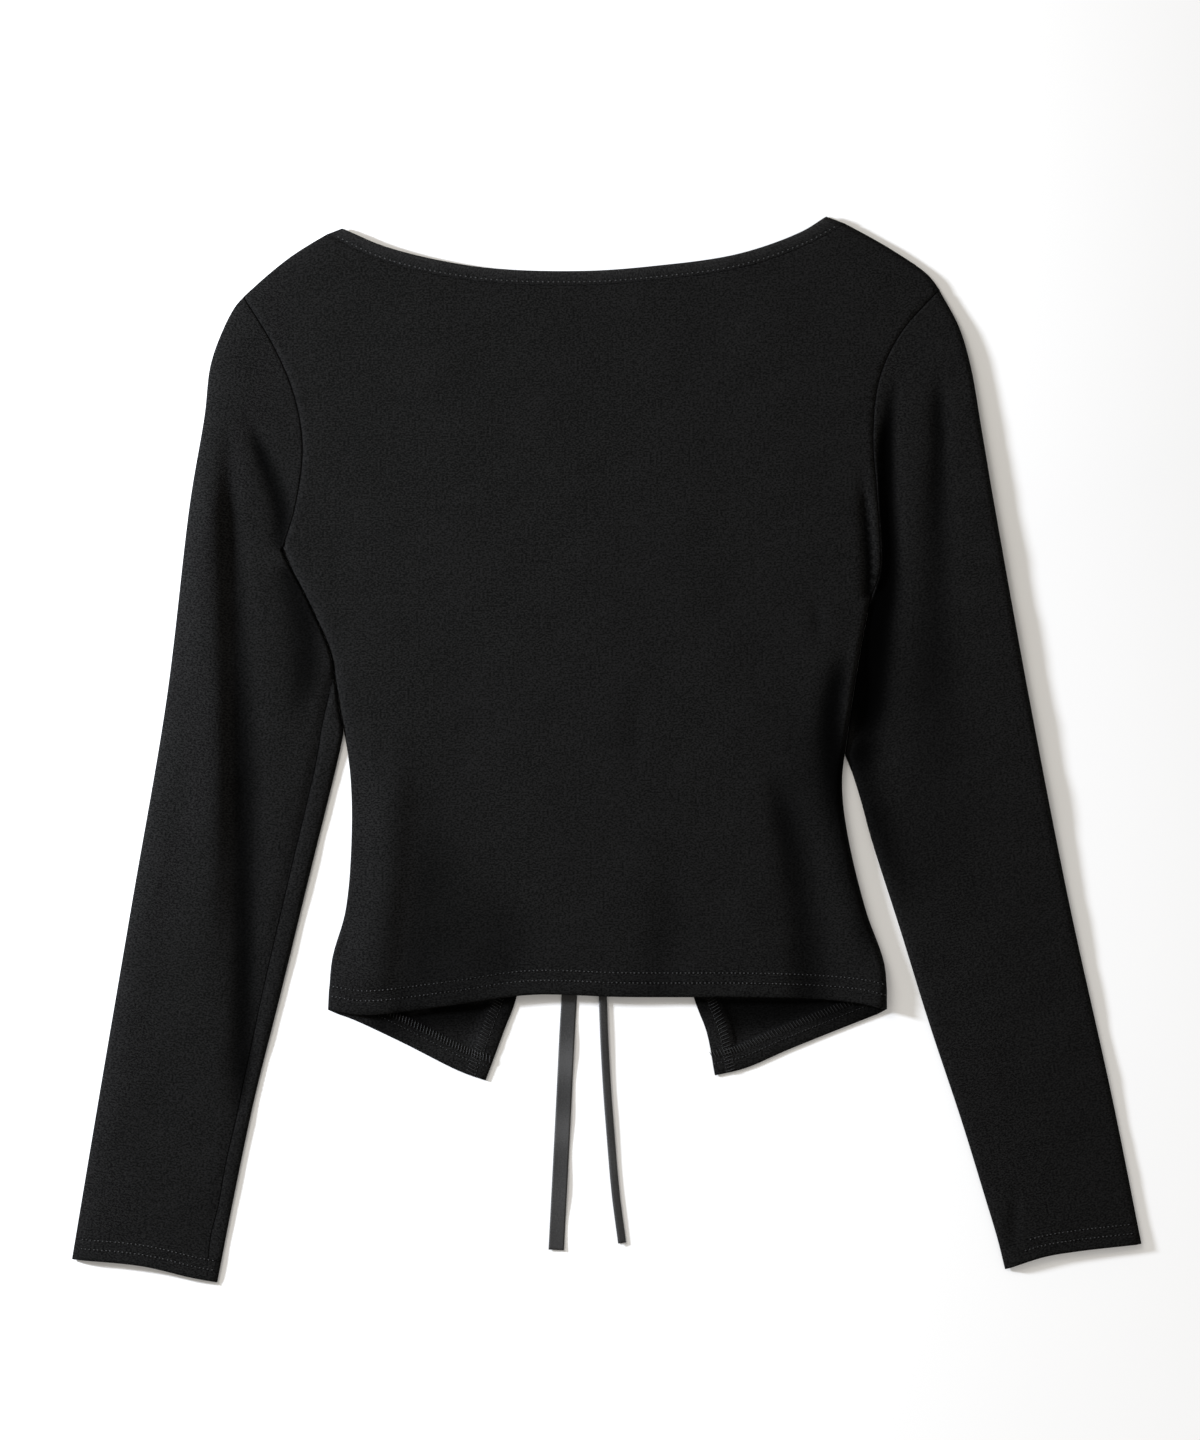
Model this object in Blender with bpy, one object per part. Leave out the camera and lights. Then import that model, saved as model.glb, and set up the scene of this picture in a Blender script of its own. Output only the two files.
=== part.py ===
"""A cropped black jersey cardigan with long set-in sleeves, laid flat with its back up.

Metres. +Z is up and z = 0 is the surface it lies on. +Y runs from the hem to the neck, +X to
the right as the back is seen from above, and "left" and "right" are those of that view.

The two fronts lie flat on the surface with their wrong side up and are tied at the bust, so
that below the knot their edges open in an upturned V, and the corners of their hems hang out
below the back's. The back lies over them. The sleeves are flattened tubes.
"""

import bmesh
import bpy
import numpy as np
from mathutils import Vector
from mathutils.geometry import delaunay_2d_cdt

# ---------------------------------------------------------------- cloth and layers

CLOTH = 0.0011  # one layer of jersey
HEM_CLOTH = 0.0019  # the jersey and its turned-up allowance, pressed
SEAM_GAP = 0.0003  # between pieces that are sewn together
BESIDE_GAP = 0.0006  # between the body's side and the sleeve that lies against it

FRONT_HEM = 0.0140  # how far the fronts' hems and edges are turned up
BACK_HEM = 0.0140
HEM_STEP = 0.0015  # the slope from a turned-up band to the single cloth

EDGE_ROLL = 0.0080  # from a folded edge to where the upper layer is level
UNDER_ROLL = 0.0020  # the same for a sleeve's lower layer
EDGE_HEIGHT = 0.0014  # where the two layers of a folded edge meet
TOP_LEVEL = 0.0038  # the upper layer's height along the armholes and shoulders
BODY_CROWN = 0.0021  # how much higher the back is in its middle
SLEEVE_CROWN = 0.0020
HEM_LIFT = 0.0007  # the back's hem rides up on the fronts' turned hems
HEM_EDGE_LIFT = 0.0009
NECK_DROP = 0.0012  # the back sinks between the fronts at the neck

BINDING_THICKNESS = 0.0020
FRONT_BINDING_THICKNESS = 0.0017
BINDING_PROUD = 0.0003  # above the panel beside it
BINDING_DIP = 0.0010  # how far the neck binding's ends come down to the shoulder folds

RIBBON_WIDTH = 0.0090
RIBBON_THICKNESS = 0.0010
KNOT_SIZE = (0.0131, 0.0140, 0.0032)
KNOT_CENTRE = (-0.0062, 0.0520)

# ---------------------------------------------------------------- outlines, as (x, y)

HEM_BACK = (
    (-0.1614, -0.1509),
    (-0.1400, -0.1535),
    (-0.0900, -0.1481),
    (-0.0444, -0.1418),
    (0.0100, -0.1430),
    (0.1000, -0.1436),
    (0.1460, -0.1467),
    (0.1623, -0.1505),
)
NECK_EDGE = (
    (-0.1535, 0.3023),
    (-0.1263, 0.2910),
    (-0.0743, 0.2800),
    (-0.0151, 0.2776),
    (0.0292, 0.2807),
    (0.0762, 0.2875),
    (0.1129, 0.3003),
    (0.1274, 0.3092),
)
NECK_SEAM = (
    (-0.1623, 0.2989),
    (-0.1295, 0.2833),
    (-0.0752, 0.2718),
    (-0.0150, 0.2695),
    (0.0300, 0.2726),
    (0.0782, 0.2796),
    (0.1166, 0.2930),
    (0.1384, 0.3050),
)

# Each side's curves. side, armhole and shoulder run upwards from the hem to the neck, the
# sleeve's edges downwards from the armhole to the cuff, and front_edge and front_neck upwards
# from the hem's corner to the knot and on to the shoulder. out is 1 where the outside is on the
# left of side, seen along its run.
SIDES = {
    "left": {
        "out": 1,
        "side": (
            (-0.1614, -0.1509),
            (-0.1592, -0.1220),
            (-0.1512, -0.0926),
            (-0.1477, -0.0392),
            (-0.1498, -0.0041),
            (-0.1547, 0.0220),
            (-0.1600, 0.0552),
            (-0.1707, 0.0812),
            (-0.1884, 0.1150),
        ),
        "armhole": (
            (-0.1884, 0.1150),
            (-0.1807, 0.1404),
            (-0.1763, 0.1750),
            (-0.1811, 0.2051),
            (-0.1932, 0.2340),
            (-0.2107, 0.2620),
        ),
        "shoulder": ((-0.2107, 0.2620), (-0.1877, 0.2810), (-0.1623, 0.2989)),
        "sleeve_outer": (
            (-0.2107, 0.2623),
            (-0.2210, 0.2455),
            (-0.2292, 0.2234),
            (-0.2335, 0.1935),
            (-0.2417, 0.1447),
            (-0.2556, 0.0287),
            (-0.2753, -0.0874),
            (-0.2950, -0.2034),
            (-0.3104, -0.2957),
        ),
        "sleeve_beside_to": 0.0090,
        "sleeve_inner": (
            (-0.1560, -0.0061),
            (-0.1703, -0.0642),
            (-0.1901, -0.1453),
            (-0.2046, -0.2034),
            (-0.2167, -0.2613),
            (-0.2260, -0.3092),
        ),
        "cuff": ((-0.3104, -0.2957), (-0.2694, -0.2996), (-0.2416, -0.3062), (-0.2260, -0.3092)),
        "front_hem": (
            (-0.1610, -0.1520),
            (-0.1498, -0.1556),
            (-0.1188, -0.1699),
            (-0.0851, -0.1868),
            (-0.0704, -0.1920),
        ),
        "front_edge": (
            (-0.0704, -0.1920),
            (-0.0591, -0.1615),
            (-0.0531, -0.1458),
            (-0.0340, -0.0600),
            (-0.0200, 0.0520),
        ),
        "front_neck": ((-0.0200, 0.0520), (-0.0740, 0.1420), (-0.1240, 0.2280), (-0.1623, 0.2989)),
        "front_neck_edge": (
            (-0.0130, 0.0560),
            (-0.0670, 0.1462),
            (-0.1165, 0.2318),
            (-0.1535, 0.3023),
        ),
    },
    "right": {
        "out": -1,
        "side": (
            (0.1623, -0.1505),
            (0.1612, -0.1255),
            (0.1504, -0.0940),
            (0.1398, -0.0504),
            (0.1364, -0.0200),
            (0.1395, 0.0078),
            (0.1478, 0.0611),
            (0.1526, 0.0860),
        ),
        "armhole": (
            (0.1526, 0.0860),
            (0.1584, 0.1037),
            (0.1567, 0.1500),
            (0.1546, 0.1800),
            (0.1582, 0.2147),
            (0.1708, 0.2416),
            (0.1930, 0.2667),
        ),
        "shoulder": ((0.1930, 0.2667), (0.1864, 0.2752), (0.1649, 0.2902), (0.1384, 0.3050)),
        "sleeve_outer": (
            (0.1930, 0.2669),
            (0.2044, 0.2455),
            (0.2111, 0.2234),
            (0.2178, 0.1849),
            (0.2246, 0.1447),
            (0.2455, 0.0287),
            (0.2681, -0.0873),
            (0.2937, -0.2034),
            (0.3104, -0.2868),
        ),
        "sleeve_beside_to": -0.0041,
        "sleeve_inner": (
            (0.1434, -0.0139),
            (0.1532, -0.0504),
            (0.1701, -0.1038),
            (0.1872, -0.1591),
            (0.2060, -0.2157),
            (0.2199, -0.2610),
            (0.2268, -0.2840),
            (0.2312, -0.3016),
        ),
        "cuff": ((0.3104, -0.2868), (0.2727, -0.2910), (0.2538, -0.2942), (0.2312, -0.3016)),
        "front_hem": (
            (0.1620, -0.1516),
            (0.1476, -0.1572),
            (0.1054, -0.1741),
            (0.0801, -0.1850),
            (0.0629, -0.1891),
        ),
        "front_edge": (
            (0.0629, -0.1891),
            (0.0583, -0.1643),
            (0.0513, -0.1456),
            (0.0270, -0.0500),
            (0.0080, 0.0520),
        ),
        "front_neck": ((0.0080, 0.0520), (0.0530, 0.1360), (0.1010, 0.2260), (0.1384, 0.3050)),
        "front_neck_edge": (
            (0.0007, 0.0554),
            (0.0458, 0.1396),
            (0.0930, 0.2296),
            (0.1274, 0.3092),
        ),
    },
}

# The ribbons' middle lines, from the knot to their cut ends.
RIBBON_ROUTES = {
    "left": (
        (-0.0113, 0.0447),
        (-0.0122, 0.0000),
        (-0.0168, -0.0750),
        (-0.0221, -0.1494),
        (-0.0255, -0.2166),
        (-0.0293, -0.2906),
    ),
    "right": (
        (-0.0014, 0.0447),
        (-0.0024, 0.0000),
        (-0.0028, -0.0750),
        (-0.0020, -0.1500),
        (0.0000, -0.1929),
        (0.0022, -0.2225),
        (0.0052, -0.2573),
        (0.0090, -0.2865),
    ),
}

# ---------------------------------------------------------------- folds

# Soft troughs in the upper layers: a middle line, half its width and its depth. A ridge has a
# negative depth.
BACK_FOLDS = (
    {"line": ((0.1473, 0.1590), (0.1502, 0.1025), (0.1514, 0.0870)), "half": 0.008, "depth": 0.0006},
    {"line": ((0.1380, 0.0635), (0.1300, 0.0370), (0.1280, 0.0080)), "half": 0.009, "depth": 0.0007},
    {
        "line": ((0.0893, -0.0012), (0.1040, -0.0460), (0.1110, -0.0950), (0.1125, -0.1400)),
        "half": 0.013,
        "depth": 0.0011,
    },
    {
        "line": ((-0.1118, -0.0110), (-0.1176, -0.0955), (-0.1245, -0.1480)),
        "half": 0.016,
        "depth": 0.0011,
    },
    {"line": ((0.0118, 0.0030), (0.0112, -0.0250)), "half": 0.010, "depth": 0.0004},
    {"line": ((0.0365, -0.0786), (0.0309, -0.1300)), "half": 0.012, "depth": 0.0006},
    {"line": ((-0.1290, -0.0100), (-0.1395, -0.0850)), "half": 0.012, "depth": -0.0005},
)
SLEEVE_FOLDS = {
    "left": (
        {"line": ((-0.2080, 0.1940), (-0.1866, 0.1215)), "half": 0.008, "depth": 0.0007},
        {
            "line": ((-0.2249, 0.1850), (-0.2192, 0.0850), (-0.2138, -0.0060)),
            "half": 0.010,
            "depth": 0.0011,
        },
        {"line": ((-0.1800, 0.0790), (-0.1756, 0.0200)), "half": 0.008, "depth": 0.0006},
        {"line": ((-0.1850, -0.0100), (-0.2180, -0.1900)), "half": 0.006, "depth": 0.0007},
    ),
    "right": (
        {
            "line": ((0.1630, 0.2030), (0.1640, 0.1560), (0.1660, 0.1087), (0.1600, 0.0610)),
            "half": 0.007,
            "depth": 0.0010,
        },
        {"line": ((0.1910, 0.2090), (0.1904, 0.1260), (0.1927, 0.0730)), "half": 0.009, "depth": 0.0009},
        {"line": ((0.2010, 0.0100), (0.2280, -0.1050)), "half": 0.012, "depth": 0.0006},
    ),
}

# ---------------------------------------------------------------- how finely it is cut

CURVE_STEP = 0.0005  # spacing of the points that a curve is read at
ON_LINE = 0.00002  # a point this near a line counts as on it
BODY_STEP = 0.0145  # spacing of a panel's points
SLEEVE_STEP = 0.0175
ARMHOLE_STEPS = 13
NECK_STEPS = 22
BACK_INSETS = (0.0012, 0.0042, EDGE_ROLL)  # rows along a folded edge, at these distances
SLEEVE_INSETS = (0.0006, UNDER_ROLL, 0.0045, EDGE_ROLL)

# ---------------------------------------------------------------- curves


def curve(points):
    """A smooth line through the points, read at every CURVE_STEP: a centripetal Catmull-Rom."""
    knots = np.array(points, float)
    knots = np.vstack([2 * knots[0] - knots[1], knots, 2 * knots[-1] - knots[-2]])
    pieces = []
    for p0, p1, p2, p3 in zip(knots, knots[1:], knots[2:], knots[3:]):
        t0 = 0.0
        t1 = t0 + np.linalg.norm(p1 - p0) ** 0.5
        t2 = t1 + np.linalg.norm(p2 - p1) ** 0.5
        t3 = t2 + np.linalg.norm(p3 - p2) ** 0.5
        count = max(2, int(np.linalg.norm(p2 - p1) / CURVE_STEP))
        t = np.linspace(t1, t2, count, endpoint=False)[:, None]
        a1 = (t1 - t) / (t1 - t0) * p0 + (t - t0) / (t1 - t0) * p1
        a2 = (t2 - t) / (t2 - t1) * p1 + (t - t1) / (t2 - t1) * p2
        a3 = (t3 - t) / (t3 - t2) * p2 + (t - t2) / (t3 - t2) * p3
        b1 = (t2 - t) / (t2 - t0) * a1 + (t - t0) / (t2 - t0) * a2
        b2 = (t3 - t) / (t3 - t1) * a2 + (t - t1) / (t3 - t1) * a3
        pieces.append((t2 - t) / (t2 - t1) * b1 + (t - t1) / (t2 - t1) * b2)
    return np.vstack(pieces + [knots[-2:-1]])


def left_normals(line):
    """Unit vectors to the left of a line's run, one for each of its points."""
    run = np.gradient(line, axis=0)
    run /= np.linalg.norm(run, axis=1)[:, None]
    return np.stack([-run[:, 1], run[:, 0]], axis=1)


def moved(line, distance):
    """The line moved to its left."""
    return line + left_normals(line) * distance


def stepped(line, step=None, steps=None):
    """Points of a line at even steps: as many as given, or else about one for each step."""
    run = np.concatenate([[0], np.cumsum(np.linalg.norm(np.diff(line, axis=0), axis=1))])
    steps = steps or max(1, round(run[-1] / step))
    share = np.linspace(0, run[-1], steps + 1)
    return np.stack([np.interp(share, run, axis) for axis in line.T], axis=-1)


def nearest(points, line):
    """For each point, its distance to a line and the index of the line's nearest point."""
    index = np.empty(len(points), int)
    for start in range(0, len(points), 2000):
        part = slice(start, start + 2000)
        index[part] = ((points[part, None] - line[None]) ** 2).sum(axis=2).argmin(axis=1)
    best = np.full(len(points), np.inf)
    for first in (index - 1, index):
        begin = line[np.clip(first, 0, len(line) - 2)]
        run = line[np.clip(first, 0, len(line) - 2) + 1] - begin
        share = ((points - begin) * run).sum(axis=1) / (run**2).sum(axis=1)
        foot = begin + run * np.clip(share, 0, 1)[:, None]
        best = np.minimum(best, np.linalg.norm(points - foot, axis=1))
    return best, index


def with_height(points, height):
    """The points with one more coordinate."""
    return np.column_stack([points, np.broadcast_to(height, len(points))])


def inside(points, loop):
    """Which points lie inside a closed loop, by the crossings to their right."""
    x, y = points.T
    found = np.zeros(len(points), bool)
    for (x0, y0), (x1, y1) in zip(loop, np.roll(loop, -1, axis=0)):
        if y0 != y1:
            crosses = ((y0 > y) != (y1 > y)) & (x < (x1 - x0) * (y - y0) / (y1 - y0) + x0)
            found ^= crosses
    return found


# ---------------------------------------------------------------- plans


def plan(loop, rows, step):
    """Points and triangles that fill a loop of points, with rows of points along its edges.

    rows holds the points inside the loop that the triangles must have as corners; the rest is
    filled with points in a triangular grid.
    """
    low, high = loop.min(axis=0), loop.max(axis=0)
    grid = []
    for i, y in enumerate(np.arange(low[1] + step / 2, high[1], step * 0.75**0.5)):
        x = np.arange(low[0] + step * (0.25 + i % 2 / 2), high[0], step)
        grid.append(with_height(x, y))
    grid = np.vstack(grid)
    grid = grid[inside(grid, loop)]
    taken = np.vstack([stepped(np.vstack([loop, loop[:1]]), step=0.001), rows])
    grid = grid[nearest(grid, taken)[0] > 0.6 * step]
    corners = np.vstack([loop, rows, grid]) * 1000
    found = delaunay_2d_cdt(
        [Vector(point) for point in corners], [], [list(range(len(loop)))], 1, 1e-4
    )
    return np.array([tuple(point) for point in found[0]]) / 1000, [tuple(t) for t in found[2]]


def edge_rows(edges, distances, step, loop):
    """Points in rows along some edges of a loop, at the given distances inside it."""
    rows = []
    for line, sign in edges:
        for distance in distances:
            row = stepped(moved(line, -sign * distance), step=step)
            row = row[inside(row, loop)]
            clear = nearest(row, stepped(np.vstack([loop, loop[:1]]), step=0.001))[0]
            rows.append(row[clear > 0.8 * distance])
    return np.vstack(rows)


def rim(triangles):
    """The edges of one triangle only, as they run in it."""
    runs = {(t[i], t[(i + 1) % 3]) for t in triangles for i in range(3)}
    return [(a, b) for a, b in sorted(runs) if (b, a) not in runs]


# ---------------------------------------------------------------- heights


def smooth_step(x):
    x = np.clip(x, 0, 1)
    return x * x * (3 - 2 * x)


def folds(points, table):
    """How far the folds of a table push the points down."""
    down = np.zeros(len(points))
    for fold in table:
        line = curve(fold["line"])
        distance, index = nearest(points, line)
        share = index / (len(line) - 1)
        ends = smooth_step(share / 0.3) * smooth_step((1 - share) / 0.3)
        down += fold["depth"] * np.exp(-((distance / fold["half"]) ** 2)) * ends
    return down


def rolled(points, edges, level, edge_height, roll):
    """How an upper layer curls down to its folded edges.

    edges is a list of (line, sign), with sign 1 where the outside is on the line's left. It
    returns the height, how far the normal leans outwards, how far it points up, the outward
    direction in the plane, and how far round its curl each point is, from 0 at the edge to 1.
    """
    best = np.full(len(points), np.inf)
    outwards = np.zeros(points.shape)
    for line, sign in edges:
        distance, index = nearest(points, line)
        closer = distance < best
        best = np.where(closer, distance, best)
        outwards = np.where(closer[:, None], sign * left_normals(line)[index], outwards)
    lean = 1 - np.clip(best / roll, 0, 1)
    rise = np.sqrt(1 - lean**2)
    height = level - edge_height
    steep = np.hypot(height * lean, roll * rise)
    return edge_height + height * rise, height * lean / steep, roll * rise / steep, outwards, rise


def back_level(points):
    """The back's height away from its folded edges."""
    x, y = points.T
    middle = np.clip(1 - (x / 0.156) ** 2, 0, 1)
    crown = BODY_CROWN * middle * (1 - smooth_step((y - 0.06) / 0.20))
    neck = NECK_DROP * middle**2 * smooth_step((y - 0.13) / 0.15)
    hem = HEM_LIFT * smooth_step((-0.115 - y) / 0.022)
    return TOP_LEVEL + crown + hem - neck - folds(points, BACK_FOLDS)


def sleeve_level(points, side, edges):
    """A sleeve's height away from its folded edges."""
    armhole, cuff, outer, inner = edges
    outer, inner = nearest(points, outer)[0], nearest(points, inner)[0]
    across = outer * inner / (outer + inner) ** 2 * 4
    begins = smooth_step(nearest(points, armhole)[0] / 0.060)
    ends = 1 - 0.45 * smooth_step(1 - nearest(points, cuff)[0] / 0.110)
    crown = SLEEVE_CROWN * across**0.8 * begins * ends
    return TOP_LEVEL + crown - folds(points, SLEEVE_FOLDS[side])


# ---------------------------------------------------------------- meshes


def cloth_material(name, colour, roughness):
    material = bpy.data.materials.new(name)
    material.use_nodes = True
    shader = material.node_tree.nodes["Principled BSDF"]
    shader.inputs["Base Color"].default_value = (*colour, 1)
    shader.inputs["Roughness"].default_value = roughness
    shader.inputs["Metallic"].default_value = 0
    material.diffuse_color = (*colour, 1)
    return material


def mesh_object(name, work, material):
    """One object of a bmesh, with its faces turned outwards, smooth but for its sharp edges."""
    bmesh.ops.recalc_face_normals(work, faces=work.faces)
    mesh = bpy.data.meshes.new(name)
    work.to_mesh(mesh)
    work.free()
    mesh.shade_smooth()
    mesh.set_sharp_from_angle(angle=np.radians(50))
    mesh.materials.append(material)
    thing = bpy.data.objects.new(name, mesh)
    bpy.context.scene.collection.objects.link(thing)
    return thing


def skin(name, points, faces, material):
    """One object of a list of points and the faces between them."""
    work = bmesh.new()
    corners = [work.verts.new(point) for point in points]
    for face in faces:
        work.faces.new([corners[i] for i in face])
    return mesh_object(name, work, material)


def panel(name, over, under, triangles, material):
    """A wall whose two faces have the same triangles."""
    n = len(over)
    faces = list(triangles) + [(n + c, n + b, n + a) for a, b, c in triangles]
    faces += [(b, a, n + a, n + b) for a, b in rim(triangles)]
    return skin(name, np.vstack([over, under]), faces, material)


def tube(name, layers, triangles, folded, material):
    """A flattened tube. layers are its upper wall's outer and inner faces and its lower wall's
    inner and outer ones, which meet at the points where folded is true."""
    n = len(folded)
    shared = np.where(folded)[0]
    over, lining_over, lining_under, under = (np.arange(n) + n * i for i in range(4))
    under[shared], lining_under[shared] = over[shared], lining_over[shared]
    faces = []
    for a, b, c in triangles:
        faces += [(over[a], over[b], over[c]), (lining_over[c], lining_over[b], lining_over[a])]
        faces += [(lining_under[a], lining_under[b], lining_under[c]), (under[c], under[b], under[a])]
    for a, b in rim(triangles):
        if not (folded[a] and folded[b]):
            faces.append((over[b], over[a], lining_over[a], lining_over[b]))
            faces.append((lining_under[b], lining_under[a], under[a], under[b]))
    used = sorted({i for face in faces for i in face})
    place = {old: new for new, old in enumerate(used)}
    faces = [[place[i] for i in face] for face in faces]
    return skin(name, np.vstack(layers)[used], faces, material)


def strip(name, sides, material):
    """A narrow band between two grids of points, rows by columns."""
    rows, columns = sides[0].shape[:2]
    n = rows * columns
    faces = []
    for i in range(rows - 1):
        for j in range(columns - 1):
            a = i * columns + j
            b, c, d = a + 1, a + columns + 1, a + columns
            faces += [(a, b, c, d), (n + d, n + c, n + b, n + a)]
    for first, step in ((0, 1), ((rows - 1) * columns, 1), (0, columns), (columns - 1, columns)):
        count = columns if step == 1 else rows
        for k in range(count - 1):
            a, b = first + k * step, first + (k + 1) * step
            faces.append((a, b, n + b, n + a))
    return skin(name, np.vstack([side.reshape(-1, 3) for side in sides]), faces, material)


# ---------------------------------------------------------------- the body


def body_curves(side):
    """A side's curves, and its armhole in the steps that the body and the sleeve share."""
    shape = {key: curve(line) for key, line in SIDES[side].items() if isinstance(line, tuple)}
    shape["armhole_steps"] = stepped(shape["armhole"], steps=ARMHOLE_STEPS)
    return shape


def loop_of(*lines):
    """One closed loop of lines that run on from each other."""
    return np.vstack([line[:-1] for line in lines])


def make_back(jersey):
    """The back, cut in one piece, with its hem turned up inside."""
    left, right = body_curves("left"), body_curves("right")
    hem = curve(HEM_BACK)
    loop = loop_of(
        stepped(left["side"], step=BODY_STEP),
        left["armhole_steps"],
        stepped(left["shoulder"], step=BODY_STEP),
        stepped(curve(NECK_SEAM), steps=NECK_STEPS),
        stepped(right["shoulder"], step=BODY_STEP)[::-1],
        right["armhole_steps"][::-1],
        stepped(right["side"], step=BODY_STEP)[::-1],
        stepped(hem, step=BODY_STEP)[::-1],
    )
    folded = [
        (left["side"], 1),
        (right["side"], -1),
        (left["shoulder"], 1),
        (right["shoulder"], -1),
    ]
    rows = np.vstack(
        [
            edge_rows(folded, BACK_INSETS, BODY_STEP, loop),
            edge_rows([(hem, -1)], (BACK_HEM, BACK_HEM + HEM_STEP), BODY_STEP, loop),
        ]
    )
    points, triangles = plan(loop, rows, BODY_STEP)
    lift = HEM_EDGE_LIFT * smooth_step((-0.118 - points[:, 1]) / 0.012)
    height, lean, up, outwards, rise = rolled(
        points, folded, back_level(points), EDGE_HEIGHT + lift, EDGE_ROLL
    )
    in_hem = nearest(points, hem)[0] < BACK_HEM + HEM_STEP / 2
    thickness = CLOTH + np.where(in_hem, (HEM_CLOTH - CLOTH) * rise**2, 0)
    under = points - outwards * (lean * thickness)[:, None]
    return panel(
        "back",
        with_height(points, height),
        with_height(under, height - up * thickness),
        triangles,
        jersey,
    )


def make_front(name, side, jersey):
    """A front, flat on the surface. Its hem and its edge below the knot are turned up."""
    shape, out = body_curves(side), SIDES[side]["out"]
    loop = loop_of(
        stepped(shape["side"], step=BODY_STEP),
        shape["armhole_steps"],
        stepped(shape["shoulder"], step=BODY_STEP),
        stepped(shape["front_neck"], step=BODY_STEP)[::-1],
        stepped(shape["front_edge"], step=BODY_STEP)[::-1],
        stepped(shape["front_hem"], step=BODY_STEP)[::-1],
    )
    turned = [(shape["front_hem"], -out), (shape["front_edge"], -out)]
    rows = edge_rows(turned, (FRONT_HEM, FRONT_HEM + HEM_STEP), BODY_STEP, loop)
    points, triangles = plan(loop, rows, 2 * BODY_STEP)
    deep = np.minimum(*[nearest(points, line)[0] for line, _ in turned])
    top = np.where(deep < FRONT_HEM + HEM_STEP / 2, HEM_CLOTH, CLOTH)
    return panel(name, with_height(points, top), with_height(points, 0), triangles, jersey)


# ---------------------------------------------------------------- the sleeves


def sleeve_edges(side):
    """The sleeve's armhole, cuff, outer and inner edges, one seam gap away from the body."""
    shape, out = body_curves(side), SIDES[side]["out"]
    seam = moved(shape["armhole_steps"], out * SEAM_GAP)
    beside = moved(shape["side"], out * BESIDE_GAP)[::-1]
    beside = beside[(beside[:, 1] > SIDES[side]["sleeve_beside_to"]) & (beside[:, 1] < seam[0, 1] - 0.004)]
    free = curve([tuple(beside[-1]), *SIDES[side]["sleeve_inner"]])
    inner = np.vstack([seam[:1], beside, free[1:]])
    outer = curve([tuple(seam[-1]), *SIDES[side]["sleeve_outer"][1:]])
    return seam, shape["cuff"], outer, inner


def make_sleeve(name, side, jersey):
    """A sleeve in one piece with its seam under the arm: a flattened tube, open at both ends."""
    edges = armhole, cuff, outer, inner = sleeve_edges(side)
    out = SIDES[side]["out"]
    loop = loop_of(
        armhole,
        stepped(outer, step=SLEEVE_STEP),
        stepped(cuff, step=SLEEVE_STEP),
        stepped(inner, step=SLEEVE_STEP)[::-1],
    )
    folded = [(outer, -out), (inner, out)]
    rows = edge_rows(folded, SLEEVE_INSETS, SLEEVE_STEP, loop)
    points, triangles = plan(loop, rows, SLEEVE_STEP)
    level = sleeve_level(points, side, edges)
    over = rolled(points, folded, level, EDGE_HEIGHT, EDGE_ROLL)
    under = rolled(points, folded, 0, EDGE_HEIGHT, UNDER_ROLL)

    # At the two ends the lining's points stay on the armhole's and the cuff's own lines.
    aside = over[3].copy()
    for line in (armhole, cuff):
        distance, index = nearest(points, line)
        here = distance < ON_LINE
        run = left_normals(line)[index] @ np.array([[0, -1], [1, 0]])
        facing = (run * over[3]).sum(axis=1)
        run = run / np.where(np.abs(facing) < 0.6, np.sign(facing + 1e-9) * 0.6, facing)[:, None]
        aside[here] = run[here]
    layers = [
        with_height(points, over[0]),
        with_height(points - aside * (over[1] * CLOTH)[:, None], over[0] - over[2] * CLOTH),
        with_height(points + aside * (under[1] * CLOTH)[:, None], under[0] + np.abs(under[2]) * CLOTH),
        with_height(points, np.clip(under[0], 0, None)),
    ]
    on_fold = np.minimum(nearest(points, outer)[0], nearest(points, inner)[0]) < ON_LINE
    return tube(name, layers, triangles, on_fold, jersey)


# ---------------------------------------------------------------- binding, ribbons and knot


def binding(name, edge, seam, top, thickness, columns, material):
    """A band of folded cloth between two edges, with rounded long sides."""
    c = np.array(columns)
    points = edge[:, None] * (1 - c)[None, :, None] + seam[:, None] * c[None, :, None]
    top, thickness = top[:, None], thickness[:, None]
    round_off = thickness * 0.32 * (1 - np.sqrt(1 - (np.abs(2 * c - 1)) ** 4))[None]
    heights = (top - round_off, top - thickness + round_off)
    return strip(name, [np.concatenate([points, h[..., None]], axis=-1) for h in heights], material)


def make_neck_binding(jersey):
    """The binding of the back neck, from shoulder to shoulder."""
    edge = stepped(curve(NECK_EDGE), steps=NECK_STEPS)
    seam = stepped(moved(curve(NECK_SEAM), SEAM_GAP), steps=NECK_STEPS)
    share = np.linspace(0, 1, NECK_STEPS + 1)
    end = 1 - smooth_step(np.minimum(share, 1 - share) * 20)
    top = TOP_LEVEL + BINDING_PROUD - NECK_DROP * 4 * share * (1 - share) - BINDING_DIP * end
    thickness = BINDING_THICKNESS - BINDING_PROUD * end
    return binding("neck_binding", edge, seam, top, thickness, (0, 0.1, 0.3, 0.7, 0.9, 1), jersey)


def make_front_binding(name, side, jersey):
    """The binding of one side of the front neck, from the knot to the shoulder."""
    shape = body_curves(side)
    seam = stepped(shape["front_neck"], step=BODY_STEP)
    steps = len(seam) - 1
    seam = stepped(moved(shape["front_neck"], -SIDES[side]["out"] * SEAM_GAP), steps=steps)
    edge = stepped(shape["front_neck_edge"], steps=steps)
    share = np.linspace(0, 1, steps + 1)
    # It thins to one layer where the back's folded edge comes down on it.
    thin = (FRONT_BINDING_THICKNESS - CLOTH) * smooth_step((share - 0.88) / 0.06)
    thickness = FRONT_BINDING_THICKNESS - thin
    return binding(name, edge, seam, thickness, thickness, (0, 0.12, 0.88, 1), jersey)


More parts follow.
